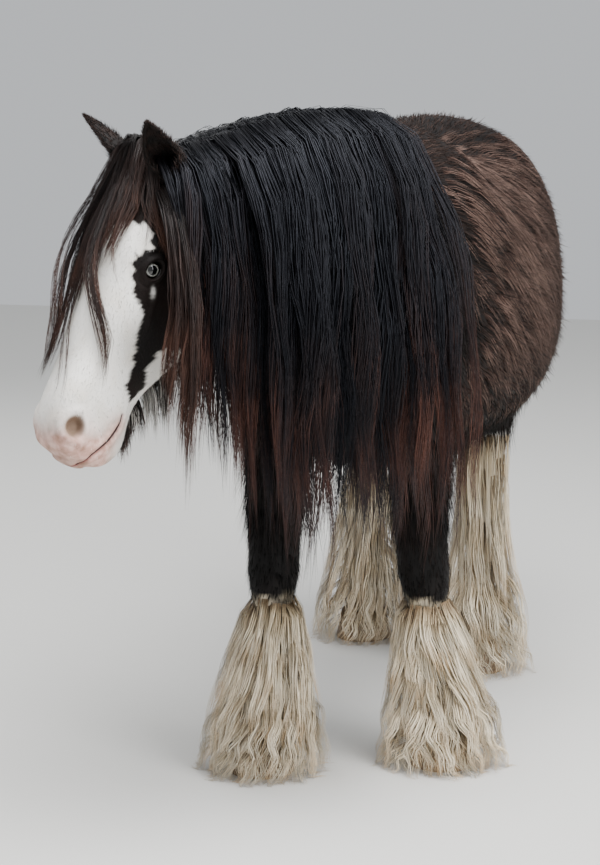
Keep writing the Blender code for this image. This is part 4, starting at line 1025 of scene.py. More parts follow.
class HORSE_OT_eyes(bpy.types.Operator):
    """Two wet eyes, each a ball with a bulged front, and their lids"""
    bl_idname = "horse.eyes"
    bl_label = "Eyes"

    def execute(self, context):
        a, f, s = AXES
        material = eye_material()
        lid_skin = lid_material()
        lids = []
        for name, side in (("eye_left", 1), ("eye_right", -1)):
            centre = on_side(EYE_AT, side)
            look = unit(s * side + f * 0.22 + a * 0.10)
            grid, front = ball_grid(centre, EYE_RADIUS * 0.985, look, a)
            bulge = 1 + 0.05 * smoothstep(0.26, 0.0, front)
            mesh = solid_mesh(name, centre + (grid - centre) * bulge[..., None])
            share = np.concatenate([np.clip(front.ravel() / 0.26, 0, 1), [0.0, 1.0]])
            vector_attribute(mesh, "strand", share, share, share)
            show(name, mesh, material, [name])
            for rise, thick in ((0.80, 0.0036), (-0.74, 0.0028)):
                t = np.linspace(0, np.pi, 40)
                long, high = -np.cos(t) * 0.86, rise * np.sin(t) ** 0.8
                tilt_a, tilt_f = long * 0.97 - high * 0.24, high * 0.97 + long * 0.24
                out = np.sqrt(np.clip(1 - tilt_a**2 - tilt_f**2, 0.05, 1))
                way = unit(tilt_a[:, None] * a + tilt_f[:, None] * f + (side * out)[:, None] * s)
                spot = centre + way * (EYE_RADIUS + 0.0006)
                lift = unit(f * np.sign(rise) - way * (way @ f)[:, None] * np.sign(rise))
                size = thick * (0.40 + 0.60 * np.sin(t))[:, None, None]
                u = full_turn(12)[None, :, None]
                ring = spot[:, None] + way[:, None] * size * np.cos(u) * 0.8
                lids.append(closed_grid(ring + lift[:, None] * size * 1.5 * np.sin(u)))
        points, quads, tris = joined(lids)
        show("eyelids", mesh_of("eyelids", points + SHIFT, quads, tris), lid_skin)
        return {"FINISHED"}


def ear_material():
    """Ears under short black hair: dull, with a fine grain."""
    material, tree, shader, _, place = hair_material(
        "short black ear hair",
        [(0.0, "#070606"), (1.0, "#0f0b0a")], [(0.0, "#120c0a"), (1.0, "#33211a")],
        [(0.0, "#cfc7bd"), (1.0, "#ece7df")], 0.60, 0.22, 40.0)
    fine = add(tree, "ShaderNodeTexNoise", [("Vector", place)], i2=700.0)
    bump = add(tree, "ShaderNodeBump", [("Height", fine.outputs[0])], i1=0.001)
    tree.links.new(bump.outputs[0], shader.inputs["Normal"])
    return material


def ear_frame(side):
    """An ear's root, the way up it, the way its cup faces, and the way across."""
    a, f, s = AXES
    root = on_side(EAR_AT, side)
    up = unit(-a * 0.56 + f * 0.84 + s * side * 0.34)
    mouth = f * 0.60 + a * 0.30 + s * side * 0.70
    mouth = unit(mouth - up * (mouth @ up))
    return root, up, mouth, np.cross(up, mouth)


def ear_surface(side):
    """An ear as a curled leaf: at each height a crescent whose outer arc goes round the back and whose inner
    arc comes back inside it by the thickness of the ear, closed low down and open to the front above."""
    root, up, mouth, across = ear_frame(side)
    rows = smooth_rows(EAR, EAR_RINGS)
    share, wide, deep = rows[:, 0:1], rows[:, 1:2], rows[:, 2:3]
    centre = root + up * (EAR_LENGTH * share) + mouth * (0.016 * share**2) - across * (side * 0.012 * share)
    opening = np.radians(12 + 62 * smoothstep(0.02, 0.45, share))
    u = np.linspace(0, 1, EAR_ARC)[None, :]
    turn = np.pi / 2 + opening + u * (2 * np.pi - 2 * opening)
    arcs = []
    for shrink in (0.0, EAR_WALL):
        w, d = np.maximum(wide - shrink, wide * 0.25), np.maximum(deep * 1.15 - shrink, deep * 0.25)
        way = across * (w * np.cos(turn))[..., None]
        arcs.append(centre[:, None] + way + mouth * (d * np.sin(turn))[..., None])
    return np.concatenate([arcs[0], arcs[1][:, ::-1]], 1)


class HORSE_OT_ears(bpy.types.Operator):
    """Two cupped ears with fuzz along their rims and inside the cup"""
    bl_idname = "horse.ears"
    bl_label = "Ears"

    def execute(self, context):
        draw = np.random.default_rng(21)
        material = ear_material()
        for name, side in (("ear_left", 1), ("ear_right", -1)):
            grid = ear_surface(side)
            points, quads, tris = closed_grid(grid)
            mesh = mesh_of(name, points + SHIFT, quads, tris)
            luck = 0.35 + 0.2 * wobble(points, 0.03, 5)
            vector_attribute(mesh, "strand", np.full_like(luck, 0.5), luck, np.zeros_like(luck))
            show(name, mesh, material, [name])
            root, up, mouth, _ = ear_frame(side)
            count = 2600
            ring = draw.integers(3, 45, count)
            column = draw.integers(0, grid.shape[1], count)
            on_rim = draw.uniform(0, 1, count) < 0.35
            first = draw.uniform(0, 1, count) < 0.5
            rim = np.where(first, draw.integers(0, 3, count), draw.integers(23, 29, count))
            column = np.where(on_rim, rim, column)
            inner = column >= EAR_ARC
            base = grid[ring, column]
            axis = root + up * ((base - root) @ up)[:, None]
            away = unit(base - axis)
            away = np.where(inner[:, None], -away * 0.35 + mouth * 0.8, away)
            way = up * 0.9 + away * draw.uniform(0.15, 0.5, count)[:, None] + draw.normal(0, 0.16, (count, 3))
            way = unit(way)
            length = draw.uniform(0.010, 0.022, count) * np.where(inner, 1.15, 0.8)
            length = length * (1.5 - 1.1 * ring / EAR_RINGS)
            ends = length[:, None, None] * np.array([-0.10, 1.0])[None, :, None]
            spine = base[:, None] + way[:, None] * ends
            uv = np.stack([0.02 + 0.95 * column / grid.shape[1], 0.02 + 0.95 * ring / EAR_RINGS], 1)
            show_strands(name + "_fuzz", material, spine, away, 0.0022, 0.0008, 0.0, uv, draw)
        return {"FINISHED"}


def hoof_material():
    """Hoof horn: satin brown, with growth rings as bands and low ridges across it."""
    material, tree, shader = surface("hoof horn", 0.48)
    place = add(tree, "ShaderNodeTexCoord").outputs["Object"]
    place = add(tree, "ShaderNodeMapping", [(0, place)], i3=(8.0, 8.0, 320.0)).outputs[0]
    bands = add(tree, "ShaderNodeTexNoise", [("Vector", place)], i2=1.0).outputs[0]
    horn = add(tree, "ShaderNodeValToRGB", [(0, bands)],
               [(0.25, "#5d4a38"), (0.5, "#8c7458"), (0.75, "#a58e6d")])
    tree.links.new(horn.outputs[0], shader.inputs["Base Color"])
    bump = add(tree, "ShaderNodeBump", [("Height", bands)], i1=0.0015)
    tree.links.new(bump.outputs[0], shader.inputs["Normal"])
    return material


class HORSE_OT_hooves(bpy.types.Operator):
    """Four hooves: horn cones on flat soles, with growth rings and a soft upper edge"""
    bl_idname = "horse.hooves"
    bl_label = "Hooves"

    def execute(self, context):
        material = hoof_material()
        for name, foot, _, _ in LEGS:
            rows = []
            for z, r in HOOF:
                middle = (foot[0], foot[1] - 0.010 * (1 - z / 0.0775), z)
                rows.append(section(middle, (1, 0, 0), (0, 1, 0), r * 0.96, r, r))
            mesh = solid_mesh("hoof_" + name, ring_grid(np.array(rows), 2.0, full_turn(72)))
            show("hoof_" + name, mesh, material, ["hoof_" + name])
        return {"FINISHED"}


def roots_on_skin(count, draw, weight):
    """Random places on the skin, spread by area times a weight: each the sum of a triangle's corners with
    random shares, and the normal likewise."""
    points, normals, tris = PIECES["skin_points"], PIECES["skin_normals"], PIECES["skin_tris"]
    corner = points[tris]
    area = np.linalg.norm(np.cross(corner[:, 1] - corner[:, 0], corner[:, 2] - corner[:, 0]), axis=1) / 2
    chance = area * weight(corner.mean(1))
    pick = draw.choice(len(tris), count, p=chance / chance.sum())
    u, v = draw.uniform(0, 1, (2, count))
    flip = u + v > 1
    u, v = np.where(flip, 1 - u, u), np.where(flip, 1 - v, v)
    share = np.stack([1 - u - v, u, v], 1)[..., None]
    return (corner[pick] * share).sum(1), unit((normals[tris[pick]] * share).sum(1))


def lie_of_coat(points, normals):
    """The way the coat lies: back and down on the trunk, straight down on legs and breast, down the face."""
    x, y, z = points.T
    on_leg = smoothstep(0.86, 0.66, z)
    breast = smoothstep(0.02, -0.16, y) * smoothstep(1.30, 1.10, z)
    drop = np.maximum(on_leg, breast)
    way = np.stack([0.10 * np.sign(x) * np.ones_like(x), 0.85 - 0.75 * drop, -0.45 - 0.55 * drop], 1)
    own = own_of(points)
    head = smoothstep(-0.02, 0.06, own[:, 0]) * (y < -0.36) * (np.abs(own[:, 2]) < 0.16)
    head = head * (own[:, 1] > -0.36) * (z > 0.6)
    cheek = smoothstep(0.0, -0.16, own[:, 1])
    face_way = AXES[0] + np.outer(cheek, -0.45 * AXES[1]) + np.outer(np.sign(own[:, 2]), AXES[2]) * 0.15
    way = way * (1 - head[:, None]) + face_way * head[:, None]
    swirl = np.stack([wobble(points, 0.16, 11), wobble(points, 0.14, 12), wobble(points, 0.15, 13)], 1) * 0.16
    way = way + swirl
    return unit(way - normals * (way * normals).sum(1)[:, None])


def tuft_weight(points):
    """How thickly the winter coat stands: none on the head or under the feather, more on the lower legs."""
    own = own_of(points)
    head = (own[:, 0] > 0.03) & (points[:, 1] < -0.40) & (np.abs(own[:, 2]) < 0.14) & (own[:, 1] > -0.33)
    dark = white_of_legs(points) < 0.3
    return np.where(head, 0.0, 1.0) * dark * np.where(points[:, 2] < 0.6, 1.5, 1.0)


def streak_weight(points):
    """How thickly the longer streaks stand: on shoulder, flank and rump, fewer on the right."""
    y, z = points[:, 1], points[:, 2]
    body = smoothstep(0.68, 0.80, z) * smoothstep(1.38, 1.30, z) * smoothstep(-0.10, 0.10, y)
    return body * (1 - 0.6 * (points[:, 0] < 0))


def face_weight(points):
    """How thickly the short hair stands: on the head, none at the eyes, thin to none at nostrils and lips."""
    own = own_of(points)
    head = (own[:, 0] > 0.0) & (points[:, 1] < -0.38) & (np.abs(own[:, 2]) < 0.15)
    head = head & (own[:, 1] > -0.34) & (points[:, 2] > 0.70)
    eye = np.hypot((own[:, 0] - EYE_AT[0]) / 0.024, (own[:, 1] - EYE_AT[1]) / 0.016) < 1
    _, pink, pit_shade_and_brown, line = markings(points)
    hair = head * (1 - eye * (np.abs(own[:, 2]) > 0.05)) * np.clip(1 - 1.1 * pink, 0.05, 1)
    return hair * (1 - np.clip(pit_shade_and_brown * 3, 0, 1)) * (1 - line)


def lay_tufts(coat, material, draw):
    """Short tufts over trunk, neck and legs."""
    count = coat.tufts
    root, normal = roots_on_skin(count, draw, tuft_weight)
    way = unit(lie_of_coat(root, normal) + draw.normal(0, 0.10, (count, 3)))
    y, z = root[:, 1], root[:, 2]
    elbow = 0.35 * smoothstep(0.80, 0.68, z) * smoothstep(0.50, 0.60, z)
    long = coat.length * (0.62 + 0.38 * smoothstep(1.35, 1.10, z)) * (1 + elbow)
    long = long * (1 - 0.55 * smoothstep(0.62, 0.50, z)) * draw.uniform(0.72, 1.2, count)
    stand = draw.uniform(0.007, 0.013, count)[:, None] * (long / coat.length)[:, None]
    spine = np.stack([root - normal * 0.0015, root + way * long[:, None] + normal * stand], 1)
    white, _, _, _ = markings(root)
    width = draw.uniform(0.0030, 0.0050, count) * np.where(z < 0.6, 0.7, 1.0)
    flank = smoothstep(0.05, 0.30, y) * smoothstep(1.25, 0.80, y) * smoothstep(0.70, 0.95, z)
    flank = flank * smoothstep(1.36, 1.20, z)
    trunk = smoothstep(0.72, 0.90, z) * smoothstep(-0.15, 0.10, y)
    luck = np.clip(draw.uniform(0, 1, count) * (0.25 + 0.25 * trunk) + 0.16 * trunk + 0.18 * flank, 0, 1)
    uv = unwrap(root)
    show_strands("coat", material, spine, normal, width, 0.0007, white, uv, draw, 2, luck)


def lay_streaks(material, draw):
    """Longer locks over the tufts of the body, each laid on the skin point by point."""
    count, knots = 2000, 6
    root, normal = roots_on_skin(count, draw, streak_weight)
    fall = unit(lie_of_coat(root, normal) + draw.normal(0, 0.05, (count, 3)))
    long = draw.uniform(0.110, 0.190, count)[:, None, None]
    long = long * smoothstep(0.66, 0.86, root[:, 2] - 0.02)[:, None, None]
    t = np.linspace(0, 1, knots)[None, :, None]
    lines = root[:, None] - normal[:, None] * 0.003 + fall[:, None] * long * t
    lines = lines - np.array([0, 0, 0.22]) * long * t**2
    for row in lines:
        for k in range(1, knots):
            near, out, _, _ = PIECES["tree"].find_nearest(Vector(row[k]))
            row[k] = np.array(near) + np.array(out) * (0.003 + 0.0008 * k)
    outs = np.repeat(normal[:, None], knots, 1)
    wide = draw.uniform(0.016, 0.036, count)
    spine, out, which, _ = locks_of(lines, outs, 6, wide, 0.003, 4, draw, gather=0.60, shortest=0.7)
    total = len(spine)
    shoulder = smoothstep(0.75, 0.30, root[:, 1]) * smoothstep(0.85, 1.05, root[:, 2])
    luck = (0.16 + 0.34 * draw.uniform(0, 1, count) + 0.22 * shoulder)[which]
    luck = np.clip(luck + 0.6 * draw.uniform(0, 1, total), 0, 1)
    width = draw.uniform(0.0014, 0.0028, total)
    uv = unwrap(root)[which]
    show_strands("long_coat", material, spine, out, width, 0.0005, 0.0, uv, draw, luck=luck)


def coat_material():
    """Winter coat: near black at the root, its tips bleached brown in broad patches, and dull with dust."""
    return hair_material(
        "winter coat", [(0.0, "#070606"), (0.6, "#0e0c0b"), (1.0, "#231a17")],
        [(0.0, "#221a17"), (0.4, "#473630"), (1.0, "#806a60")],
        [(0.0, "#a8977c"), (0.5, "#d2c5ae"), (1.0, "#e8dfcd")], 0.70, 0.08, 5.0, spread=(0.72, 1.25))[0]


def face_hair_material():
    """Short hair of the face: bright white from a faintly warm root, black on its patch, of little sheen."""
    return hair_material(
        "face hair", [(0.0, "#080606"), (1.0, "#120d0c")], [(0.0, "#0d0909"), (1.0, "#211612")],
        [(0.0, "#e6e0d8"), (0.4, "#efebe5"), (1.0, "#fbf9f6")], 0.60, 0.15, 30.0, spread=(0.95, 1.03))[0]


def lay_face_hair(coat, draw):
    """Short hair on the head, longer under the jaw and at the poll."""
    material = face_hair_material()
    count = coat.face_tufts
    root, normal = roots_on_skin(count, draw, face_weight)
    own = own_of(root)
    way = unit(lie_of_coat(root, normal) + draw.normal(0, 0.12, (count, 3)))
    longer = 1 + 1.6 * smoothstep(-0.17, -0.24, own[:, 1]) + 1.2 * smoothstep(0.10, 0.02, own[:, 0])
    long = coat.face_length * longer * draw.uniform(0.75, 1.25, count)
    stand = normal * draw.uniform(0.0002, 0.0006, count)[:, None] * longer[:, None] ** 1.5
    spine = np.stack([root - normal * 0.0008, root + way * long[:, None] + stand], 1)
    white, _, _, _ = markings(root)
    width = draw.uniform(0.0014, 0.0026, count) * longer**0.5
    show_strands("face_hair", material, spine, normal, width, 0.0004, white, unwrap(root), draw)


class HORSE_OT_coat(bpy.types.Operator):
    """The long winter coat of trunk, neck and legs, and the short hair of the face"""
    bl_idname = "horse.coat"
    bl_label = "Coat"

    def execute(self, context):
        coat = context.scene.horse_coat
        material = coat_material()
        draw = np.random.default_rng(5)
        lay_tufts(coat, material, draw)
        lay_streaks(material, draw)
        lay_face_hair(coat, draw)
        return {"FINISHED"}


def crest_point(share):
    """A point on the crest of the neck, 0 at the poll and 1 at the withers, and the way along it."""
    tops = smooth_rows([crest for crest, _, _ in reversed(NECK)], 61)
    k = min(max(share, 0), 1) * 59
    low = int(k)
    spot = tops[low] + (tops[low + 1] - tops[low]) * (k - low)
    hit, _, _, _ = PIECES["tree"].ray_cast(Vector((spot[0], spot[1], 2.0)), Vector((0, 0, -1)))
    return np.array(hit), unit(tops[low + 1] - tops[low])


def mane_material():
    """Long horse hair: black with a cool sheen at the crest, bleached to red-brown at the tips."""
    material, _, shader, _, _ = hair_material(
        "long mane hair", [(0.0, "#030305"), (0.60, "#050507"), (0.84, "#0b0808"), (1.0, "#1f1310")],
        [(0.0, "#060608"), (0.50, "#0d0a0b"), (0.76, "#1e1411"), (1.0, "#4a2f26")],
        [(0.0, "#8a8784"), (0.5, "#c4c0ba"), (1.0, "#e4e1dc")], 0.42, 0.28, 7.0, spread=(0.5, 1.5))
    shader.inputs["Specular Tint"].default_value = linear("#dde4f6")
    return material


def forelock_material():
    """The hair before the ears: black that the sun has browned sooner."""
    return hair_material(
        "forelock hair", [(0.0, "#0a0807"), (0.5, "#0c0909"), (1.0, "#241712")],
        [(0.0, "#100b0a"), (0.35, "#1c1311"), (0.7, "#2c1d18"), (1.0, "#4c3228")],
        [(0.0, "#8a8784"), (0.5, "#c4c0ba"), (1.0, "#e4e1dc")], 0.42, 0.30, 9.0)[0]


class HORSE_OT_mane(bpy.types.Operator):
    """The mane over both sides of the neck"""
    bl_idname = "horse.mane"
    bl_label = "Mane"

    def execute(self, context):
        material = mane_material()
        PIECES["mane_material"] = material
        for name, side, falls, layers in MANE:
            draw = np.random.default_rng(40 + side)
            bundles = []
            for count, each, lengths, lifts, locks, strands, astray in layers:
                lines, outs = [], []
                shares = 0.02 + 0.75 * (np.arange(count) + draw.uniform(0.1, 0.9, count)) / count
                if astray >= 0.2:
                    shares = 0.14 + 0.84 * (shares - 0.02)
                for share in shares:
                    root, along = crest_point(share)
                    outward = unit(np.cross(along, [0, 0, 1.0]))
                    outward = outward * np.sign(outward[0] * side)
                    back = 0.05 + 0.55 * share**2 + draw.normal(0, astray)
                    rise = 0.85 if side > 0 and astray < 0.15 else 0.40
                    heading = outward - along * back + np.array([0, 0, rise])
                    length = float(np.interp(share, np.linspace(0, 1, len(falls)), falls))
                    length = length * draw.uniform(*lengths)
                    over = draw.uniform(-0.044, 0.008) if side > 0 else draw.uniform(-0.004, 0.020)
                    raised = 0.008 * math.sin(math.pi * share) - 0.006
                    start = root + outward * over + np.array([0, 0, raised])
                    line, out = drape(start, heading, length, draw.uniform(*lifts), 0.26)
                    lines.append(line)
                    outs.append(out)
                wide = draw.uniform(*locks, count)
                spine, normal, which, a = locks_of(
                    np.array(lines), np.array(outs), each, wide, 0.014, 11, draw,
                    gather=0.30, wave=0.0105, beat=0.34, shortest=0.88)
                total = len(spine)
                sunned = 0.32 * smoothstep(0.50, 0.76, shares) + 0.12 * smoothstep(0.30, 0.10, shares) - 0.10
                width = draw.uniform(*strands, total)
                luck = (draw.uniform(0, 1, count) * 0.6 + sunned)[which]
                luck = np.clip(luck + 0.4 * draw.uniform(0, 1, total), 0, 1)
                uv = np.stack([0.02 + 0.94 * shares[which], 0.5 + 0.45 * a], 1)
                bundles.append((spine, normal, width, luck, uv))
            spine, normal, width, luck, uv = (np.concatenate(parts) for parts in zip(*bundles))
            show_strands(name, material, spine, normal, width, 0.0006, 0.0, uv, draw,
                         2 if side > 0 else 1, luck, 0.35)
        return {"FINISHED"}


def lay_forelock(material, draw):
    """The locks of the forelock and the hair beside them, as one piece."""
    a, f, s = AXES
    bundles = []

    def lay(lines, outs, each, sunned, wide, gather):
        """Adds one bundle of locks."""
        count = len(lines)
        wide = draw.uniform(*wide, count)
        spine, normal, which, side = locks_of(np.array(lines), np.array(outs), each, wide, 0.006, 11, draw,
                                              gather, wave=0.0035, beat=0.17, shortest=0.90)
        luck = (sunned + 0.4 * draw.uniform(0, 1, count))[which]
        luck = np.clip(luck + 0.35 * draw.uniform(0, 1, len(spine)), 0, 1)
        uv = np.stack([0.5 + 6 * own_of(spine[:, 0])[:, 2], 0.5 + 0.45 * side], 1)
        bundles.append((spine, normal, luck, uv))

    knots = 25
    t = np.linspace(0, 1, knots)[:, None]
    for count, each, sunned, path in FORELOCK:
        lines, outs = [], []
        for _ in range(count):
            line = smooth_rows(path, knots)
            line = line[: round(knots * draw.uniform(0.90, 1.0))] if count > 4 else line
            line = smooth_rows(line, knots) + draw.normal(0, 0.007, 3) * [0.6, 0, 1] * (0.5 + t)
            line = on_head(line + draw.normal(0, 0.004, 3) * np.sin(7 * t))
            lift, out = 0.005 + 0.012 * draw.uniform(0, 1), []
            for k, spot in enumerate(line):
                near, normal, _, _ = PIECES["tree"].find_nearest(Vector(spot))
                near, normal = np.array(near), np.array(normal)
                short = lift * min(1.0, k / 4) - (spot - near) @ normal
                line[k] = spot + normal * max(short, 0) if k else spot
                out.append(normal)
            lines.append(line)
            outs.append(np.array(out))
        lay(lines, outs, each, sunned, (0.012, 0.026) if count > 2 else (0.006, 0.012), 0.24)
    for along, left, heading, length, count, each, sunned, high in TEMPLES:
        lines, outs = [], []
        for _ in range(count):
            spot = on_head((along + draw.normal(0, 0.006), 0.012, left + draw.normal(0, 0.006)))
            near, _, _, _ = PIECES["tree"].find_nearest(Vector(spot))
            lift = 0.006 + high * draw.uniform(0, 1)
            up, ahead = (0.8, 0.4) if heading < 1 else (0.3, 0.2)
            way = f * up + a * ahead + s * (heading + draw.normal(0, 0.10))
            line, out = drape(np.array(near) - f * 0.006, way, length * draw.uniform(0.78, 1.04), lift, 0.20)
            if heading > 1.5:
                line = line + f * (0.040 * smoothstep(0.40, 1.0, np.linspace(0, 1, len(line))))[:, None]
            lines.append(line)
            outs.append(out)
        lay(lines, outs, each, sunned, (0.012, 0.026), 0.20)
    spine, normal, luck, uv = (np.concatenate(parts) for parts in zip(*bundles))
    width = draw.uniform(0.0013, 0.0028, len(spine))
    show_strands("forelock", material, spine, normal, width, 0.0005, 0.0, uv, draw,
                 luck=luck, blunt=0.25)


def lay_beard(material, draw):
    """The hair along the jaw and chin, each lock from where a ray from below meets the head."""
    a, f, s = AXES
    count = 56
    lines, places = [], draw.uniform(0.26, 0.545, count)
    table_place, table_length, table_white = zip(*BEARD)
    t = np.linspace(0, 1, 10)[:, None]
    for along in places:
        spot = on_head((along, -0.30, float(np.clip(draw.normal(0, 0.020), -0.034, 0.034))))
        hit, normal, _, _ = PIECES["tree"].ray_cast(Vector(spot), Vector(f))
        long = np.interp(along, table_place, table_length) * draw.uniform(0.7, 1.1)
        start = unit(np.array(normal) * 0.5 + a * 0.5 + draw.normal(0, 0.12, 3))
        line = np.array(hit) - np.array(normal) * 0.004 + start * long * t * (1 - 0.5 * t)
        lines.append(line - np.array([0, 0, 0.75]) * long * t**2)
    lines = np.array(lines)
    outs = np.broadcast_to(s, lines.shape).copy()
    spine, normal, which, side = locks_of(lines, outs, 26, draw.uniform(0.014, 0.026, count), 0.010, 7, draw,
                                          gather=0.40, wave=0.0018, beat=0.06, shortest=0.7)
    total = len(spine)
    pale = draw.uniform(0, 1, count) < np.interp(places, table_place, table_white)
    mark = np.clip(pale[which] * draw.uniform(0.1, 1.1, total), 0, 1)
    uv = np.stack([0.5 + 0.4 * side, 0.02 + places[which]], 1)
    width = draw.uniform(0.0010, 0.0020, total)
    show_strands("beard", material, spine, normal, width, 0.0006, mark, uv, draw)


class HORSE_OT_forelock(bpy.types.Operator):
    """The forelock, the hair before the ears, and the beard along the jaw and chin"""
    bl_idname = "horse.forelock"
    bl_label = "Forelock and beard"

    def execute(self, context):
        draw = np.random.default_rng(61)
        material = forelock_material()
        lay_forelock(material, draw)
        lay_beard(material, draw)
        return {"FINISHED"}


def feather_material():
    """Silky hair of the lower legs: brown-cream at the root as painted shade between the locks, bright along
    its length, stained at the tip.
    """
    # The white ramp's darker brown root is painted shade where the locks crowd in against the leg
    return hair_material(
        "cream feather hair", [(0.0, "#1a1311"), (1.0, "#2b1a14")], [(0.0, "#241812"), (1.0, "#4d3122")],
        [(0.0, "#8d7557"), (0.25, "#c8b595"), (0.6, "#f2e5cc"), (1.0, "#c3a47a")], 0.46, 0.32, 18.0,
        spread=(0.42, 1.34))[0]


class HORSE_OT_feather(bpy.types.Operator):
    """The long wavy feather of the four lower legs, down to the floor"""
    bl_idname = "horse.feather"
    bl_label = "Feather"

    def execute(self, context):
        material = feather_material()
        heights, bells, cores = zip(*reversed(FEATHER))
        t = np.linspace(0, 1, 16)
        for index, (name, foot, top, hind) in enumerate(LEGS):
            draw = np.random.default_rng(80 + index)
            table = np.array((HINDLEG if hind else FORELEG)[::-1])
            white_top = WHITE_FORE if not hind else WHITE_HIND_LEFT if foot[0] > 0 else WHITE_HIND_RIGHT
            phase = draw.uniform(0, 6.28)
            meshes = []
            for tier, (count, root_z, tip_z, each, steps, wave, beat, ragged) in enumerate(FEATHER_TIERS):
                each = round(each * (0.62 if hind else 1))
                lines, outs = [], []
                for k in range(count):
                    angle = 2 * np.pi * (k + draw.uniform(-0.35, 0.35)) / count + tier
                    high = root_z + draw.uniform(-0.05, 0.010)
                    if hind and tier < 2:
                        raised = draw.uniform(0.08, 0.23) if foot[0] > 0 else draw.uniform(0.02, 0.10)
                        high = high + raised * (1 - 0.4 * tier)
                    high = min(high, white_top + draw.uniform(-0.022, 0.008))
                    low = tip_z + draw.uniform(0, ragged)
                    z = high + (low - high) * t
                    share, rear, half, deep = (np.interp(z, table[:, 0], column) for column in table[:, 1:].T)
                    x, y = (foot[axis] * (1 - share) + top[axis] * share for axis in (0, 1))
                    middle = np.stack([x, y + rear, z], 1)
                    turn = angle + 0.09 * np.sin(4.0 * t + phase + angle) + 0.03 * np.sin(8 * t + angle * 3)
                    out = np.stack([np.cos(turn), np.sin(turn), np.zeros_like(t)], 1)
                    bell, core = np.interp(z, heights, bells), np.interp(z, heights, cores)
                    girth = np.where(z > 0.34, 1 / np.hypot(np.cos(turn) / half, np.sin(turn) / deep), 0)
                    ease = smoothstep(0.0, 0.30 if tier else 0.10, t)
                    inner = draw.uniform(0.72, 1.0) if tier else 0.95
                    inner = inner * (1 - 0.12 * smoothstep(0.27, 0.36, z) * (not hind))
                    at_root = np.maximum(core * 0.86, girth * 0.92)
                    hanging = np.maximum.reduce([bell * inner, core, girth * 1.02])
                    lines.append(middle + out * (at_root * (1 - ease) + hanging * ease)[:, None])
                    outs.append(out)
                lines, outs = np.array(lines), np.array(outs)
                wide = draw.uniform(0.022, 0.040, count)
                spine, normal, which, _ = locks_of(lines, outs, each, wide, 0.012, steps, draw,
                                                   0.36 if tier < 3 else 0.46, wave, beat, 0.84, 0.2)
                under = np.maximum(0.003 - spine[..., 2:], 0)
                spine = spine + np.concatenate([normal[..., :2] * under * 0.6, under], -1)
                total = len(spine)
                turn = turn_share(lines[:, 0, 0] - foot[0], lines[:, 0, 1] - foot[1])
                uv = np.stack([0.02 + 0.94 * turn[which], 0.02 + 1.7 * lines[which, 0, 2]], 1)
                luck = 0.68 * draw.uniform(0, 1, count)[which] + 0.32 * draw.uniform(0, 1, total)
                width = draw.uniform(*((0.0018, 0.0036) if tier < 2 else (0.0015, 0.0032)), total)
                mark = np.where(draw.uniform(0, 1, total) < 0.985, 1.0, 0.3)
                meshes.append(strand_mesh(
                    f"{name}_feather_{tier}", spine, normal, width, np.full(total, 0.0004),
                    np.clip(luck, 0, 1), mark, uv))
            show(name + "_feather", merged(name + "_feather", meshes), material)
        return {"FINISHED"}


class HORSE_OT_tail(bpy.types.Operator):
    """The tail: long hair round the dock, hanging clear of the hocks"""
    bl_idname = "horse.tail"
    bl_label = "Tail"

    def execute(self, context):
        draw = np.random.default_rng(101)
        rows = [section(centre, (1, 0, 0), (0, 1, 0), wide, deep, deep) for centre, wide, deep in TAIL]
        line = smooth_rows(rows, 101)
        dock = line[:46:3].copy()
        dock[:, 9:] *= np.linspace(0.60, 0.25, len(dock))[:, None]
        material, _, _ = surface(
            "dock of the tail", 0.8, Specular_IOR_Level=0.1, Base_Color=linear("#0b0909"))
        mesh = solid_mesh("tail_dock", ring_grid(dock, 2.0, full_turn(24)))
        show("tail_dock", mesh, material, ["tail"])
        lines, outs = [], []
        count = 84
        t = np.linspace(0, 1, 24)
        for k in range(count):
            angle = 2 * math.pi * (k * 0.618 % 1)
            start = draw.uniform(0.0, 0.34) * (k % 3 > 0)
            end = draw.uniform(0.72, 1.0)
            reach = math.sqrt(draw.uniform(0.15, 1.0)) * 0.95
            row = line[np.round(100 * (start + (end - start) * t)).astype(int)]
            turn = angle + 0.35 * t + 0.08 * np.sin(7 * t + angle)
            out = np.stack([np.cos(turn), np.sin(turn), np.zeros_like(t)], 1)
            half, deep = row[:, 9:10], row[:, 10:11]
            far = out * (0.45 + (reach - 0.45) * smoothstep(0, 0.12, t))[:, None] * deep
            lines.append(row[:, 0:3] + far * np.array([1, 0, 0]) * (half / deep) + far * np.array([0, 1, 0]))
            outs.append(out)
        lines, outs = np.array(lines), np.array(outs)
        wide = draw.uniform(0.016, 0.036, count)
        spine, normal, which, a = locks_of(lines, outs, 21, wide, 0.006, 9, draw,
                                           gather=0.30, wave=0.006, beat=0.30)
        width = draw.uniform(0.0020, 0.0044, len(spine))
        uv = np.stack([0.02 + 0.94 * (which / count), 0.5 + 0.45 * a], 1)
        material = PIECES["mane_material"]
        show_strands("tail", material, spine, normal, width, 0.0011, 0.0, uv, draw)
        return {"FINISHED"}


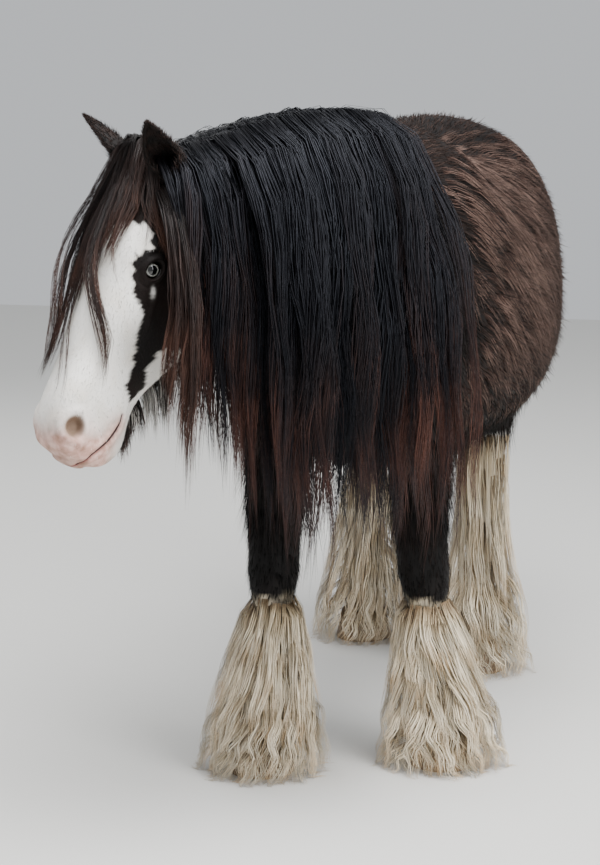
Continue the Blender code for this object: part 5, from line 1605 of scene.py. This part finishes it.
class HORSE_OT_stage(bpy.types.Operator):
    """Pale floor, soft studio light and the camera at the photograph's view"""
    bl_idname = "horse.stage"
    bl_label = "Stage"

    def execute(self, context):
        colours = context.scene.horse_colours
        corners = np.array([(-6, -6, 0), (6, -6, 0), (6, 8, 0), (-6, 8, 0)], float)
        floor_mesh = mesh_of("floor", corners, [(0, 1, 2, 3)], [])
        material, _, _ = surface("plain pale floor", 0.85, Base_Color=(*colours.floor, 1))
        floor_mesh.materials.append(material)
        floor = bpy.data.objects.new("floor", floor_mesh)
        context.scene.collection.objects.link(floor)
        world = bpy.data.worlds.new("soft_light")
        world.use_nodes = True
        background = world.node_tree.nodes["Background"]
        background.inputs["Color"].default_value = (*colours.sky, 1)
        background.inputs["Strength"].default_value = 0.72
        context.scene.world = world
        for name, at, size, power, aim in LAMPS:
            lamp = bpy.data.lights.new(name, "AREA")
            lamp.energy, lamp.size = power, size
            obj = bpy.data.objects.new(name, lamp)
            obj.location = at
            obj.rotation_euler = (Vector(aim) - Vector(at)).to_track_quat("-Z", "Y").to_euler()
            context.scene.collection.objects.link(obj)
        turn, pitch = math.radians(CAMERA_TURN), math.radians(CAMERA_PITCH)
        view = bpy.data.cameras.new("photo_view")
        view.lens, view.sensor_width = CAMERA_LENS, 36
        camera = bpy.data.objects.new("photo_view", view)
        camera.location = np.array(CAMERA_AT) + SHIFT
        look = (-math.sin(turn) * math.cos(pitch), math.cos(turn) * math.cos(pitch), -math.sin(pitch))
        camera.rotation_euler = Vector(look).to_track_quat("-Z", "Y").to_euler()
        context.scene.collection.objects.link(camera)
        context.scene.camera = camera
        return {"FINISHED"}


class HORSE_PT_panel(bpy.types.Panel):
    """Lists the horse's settings and pieces"""
    bl_idname = "HORSE_PT_panel"
    bl_label = "Gypsy vanner horse"
    bl_space_type = "VIEW_3D"
    bl_region_type = "UI"
    bl_category = "Horse"

    def draw(self, context):
        for group in (context.scene.horse_coat, context.scene.horse_colours):
            for name in group.__annotations__:
                self.layout.prop(group, name)
        for operator in OPERATORS:
            self.layout.operator(operator.bl_idname)


OPERATORS = (HORSE_OT_stage, HORSE_OT_skin, HORSE_OT_eyes, HORSE_OT_ears, HORSE_OT_hooves, HORSE_OT_coat,
             HORSE_OT_mane, HORSE_OT_forelock, HORSE_OT_feather, HORSE_OT_tail)
CLASSES = (HorseCoat, HorseColours, *OPERATORS, HORSE_PT_panel)


def register():
    for cls in CLASSES:
        bpy.utils.register_class(cls)
    bpy.types.Scene.horse_coat = bpy.props.PointerProperty(type=HorseCoat)
    bpy.types.Scene.horse_colours = bpy.props.PointerProperty(type=HorseColours)


def unregister():
    del bpy.types.Scene.horse_coat
    del bpy.types.Scene.horse_colours
    for cls in reversed(CLASSES):
        bpy.utils.unregister_class(cls)


def main():
    register()
    bpy.ops.horse.stage()
    bpy.ops.horse.skin()
    bpy.ops.horse.eyes()
    bpy.ops.horse.ears()
    bpy.ops.horse.hooves()
    bpy.ops.horse.coat()
    bpy.ops.horse.mane()
    bpy.ops.horse.forelock()
    bpy.ops.horse.feather()
    bpy.ops.horse.tail()


if __name__ == "__main__":
    main()
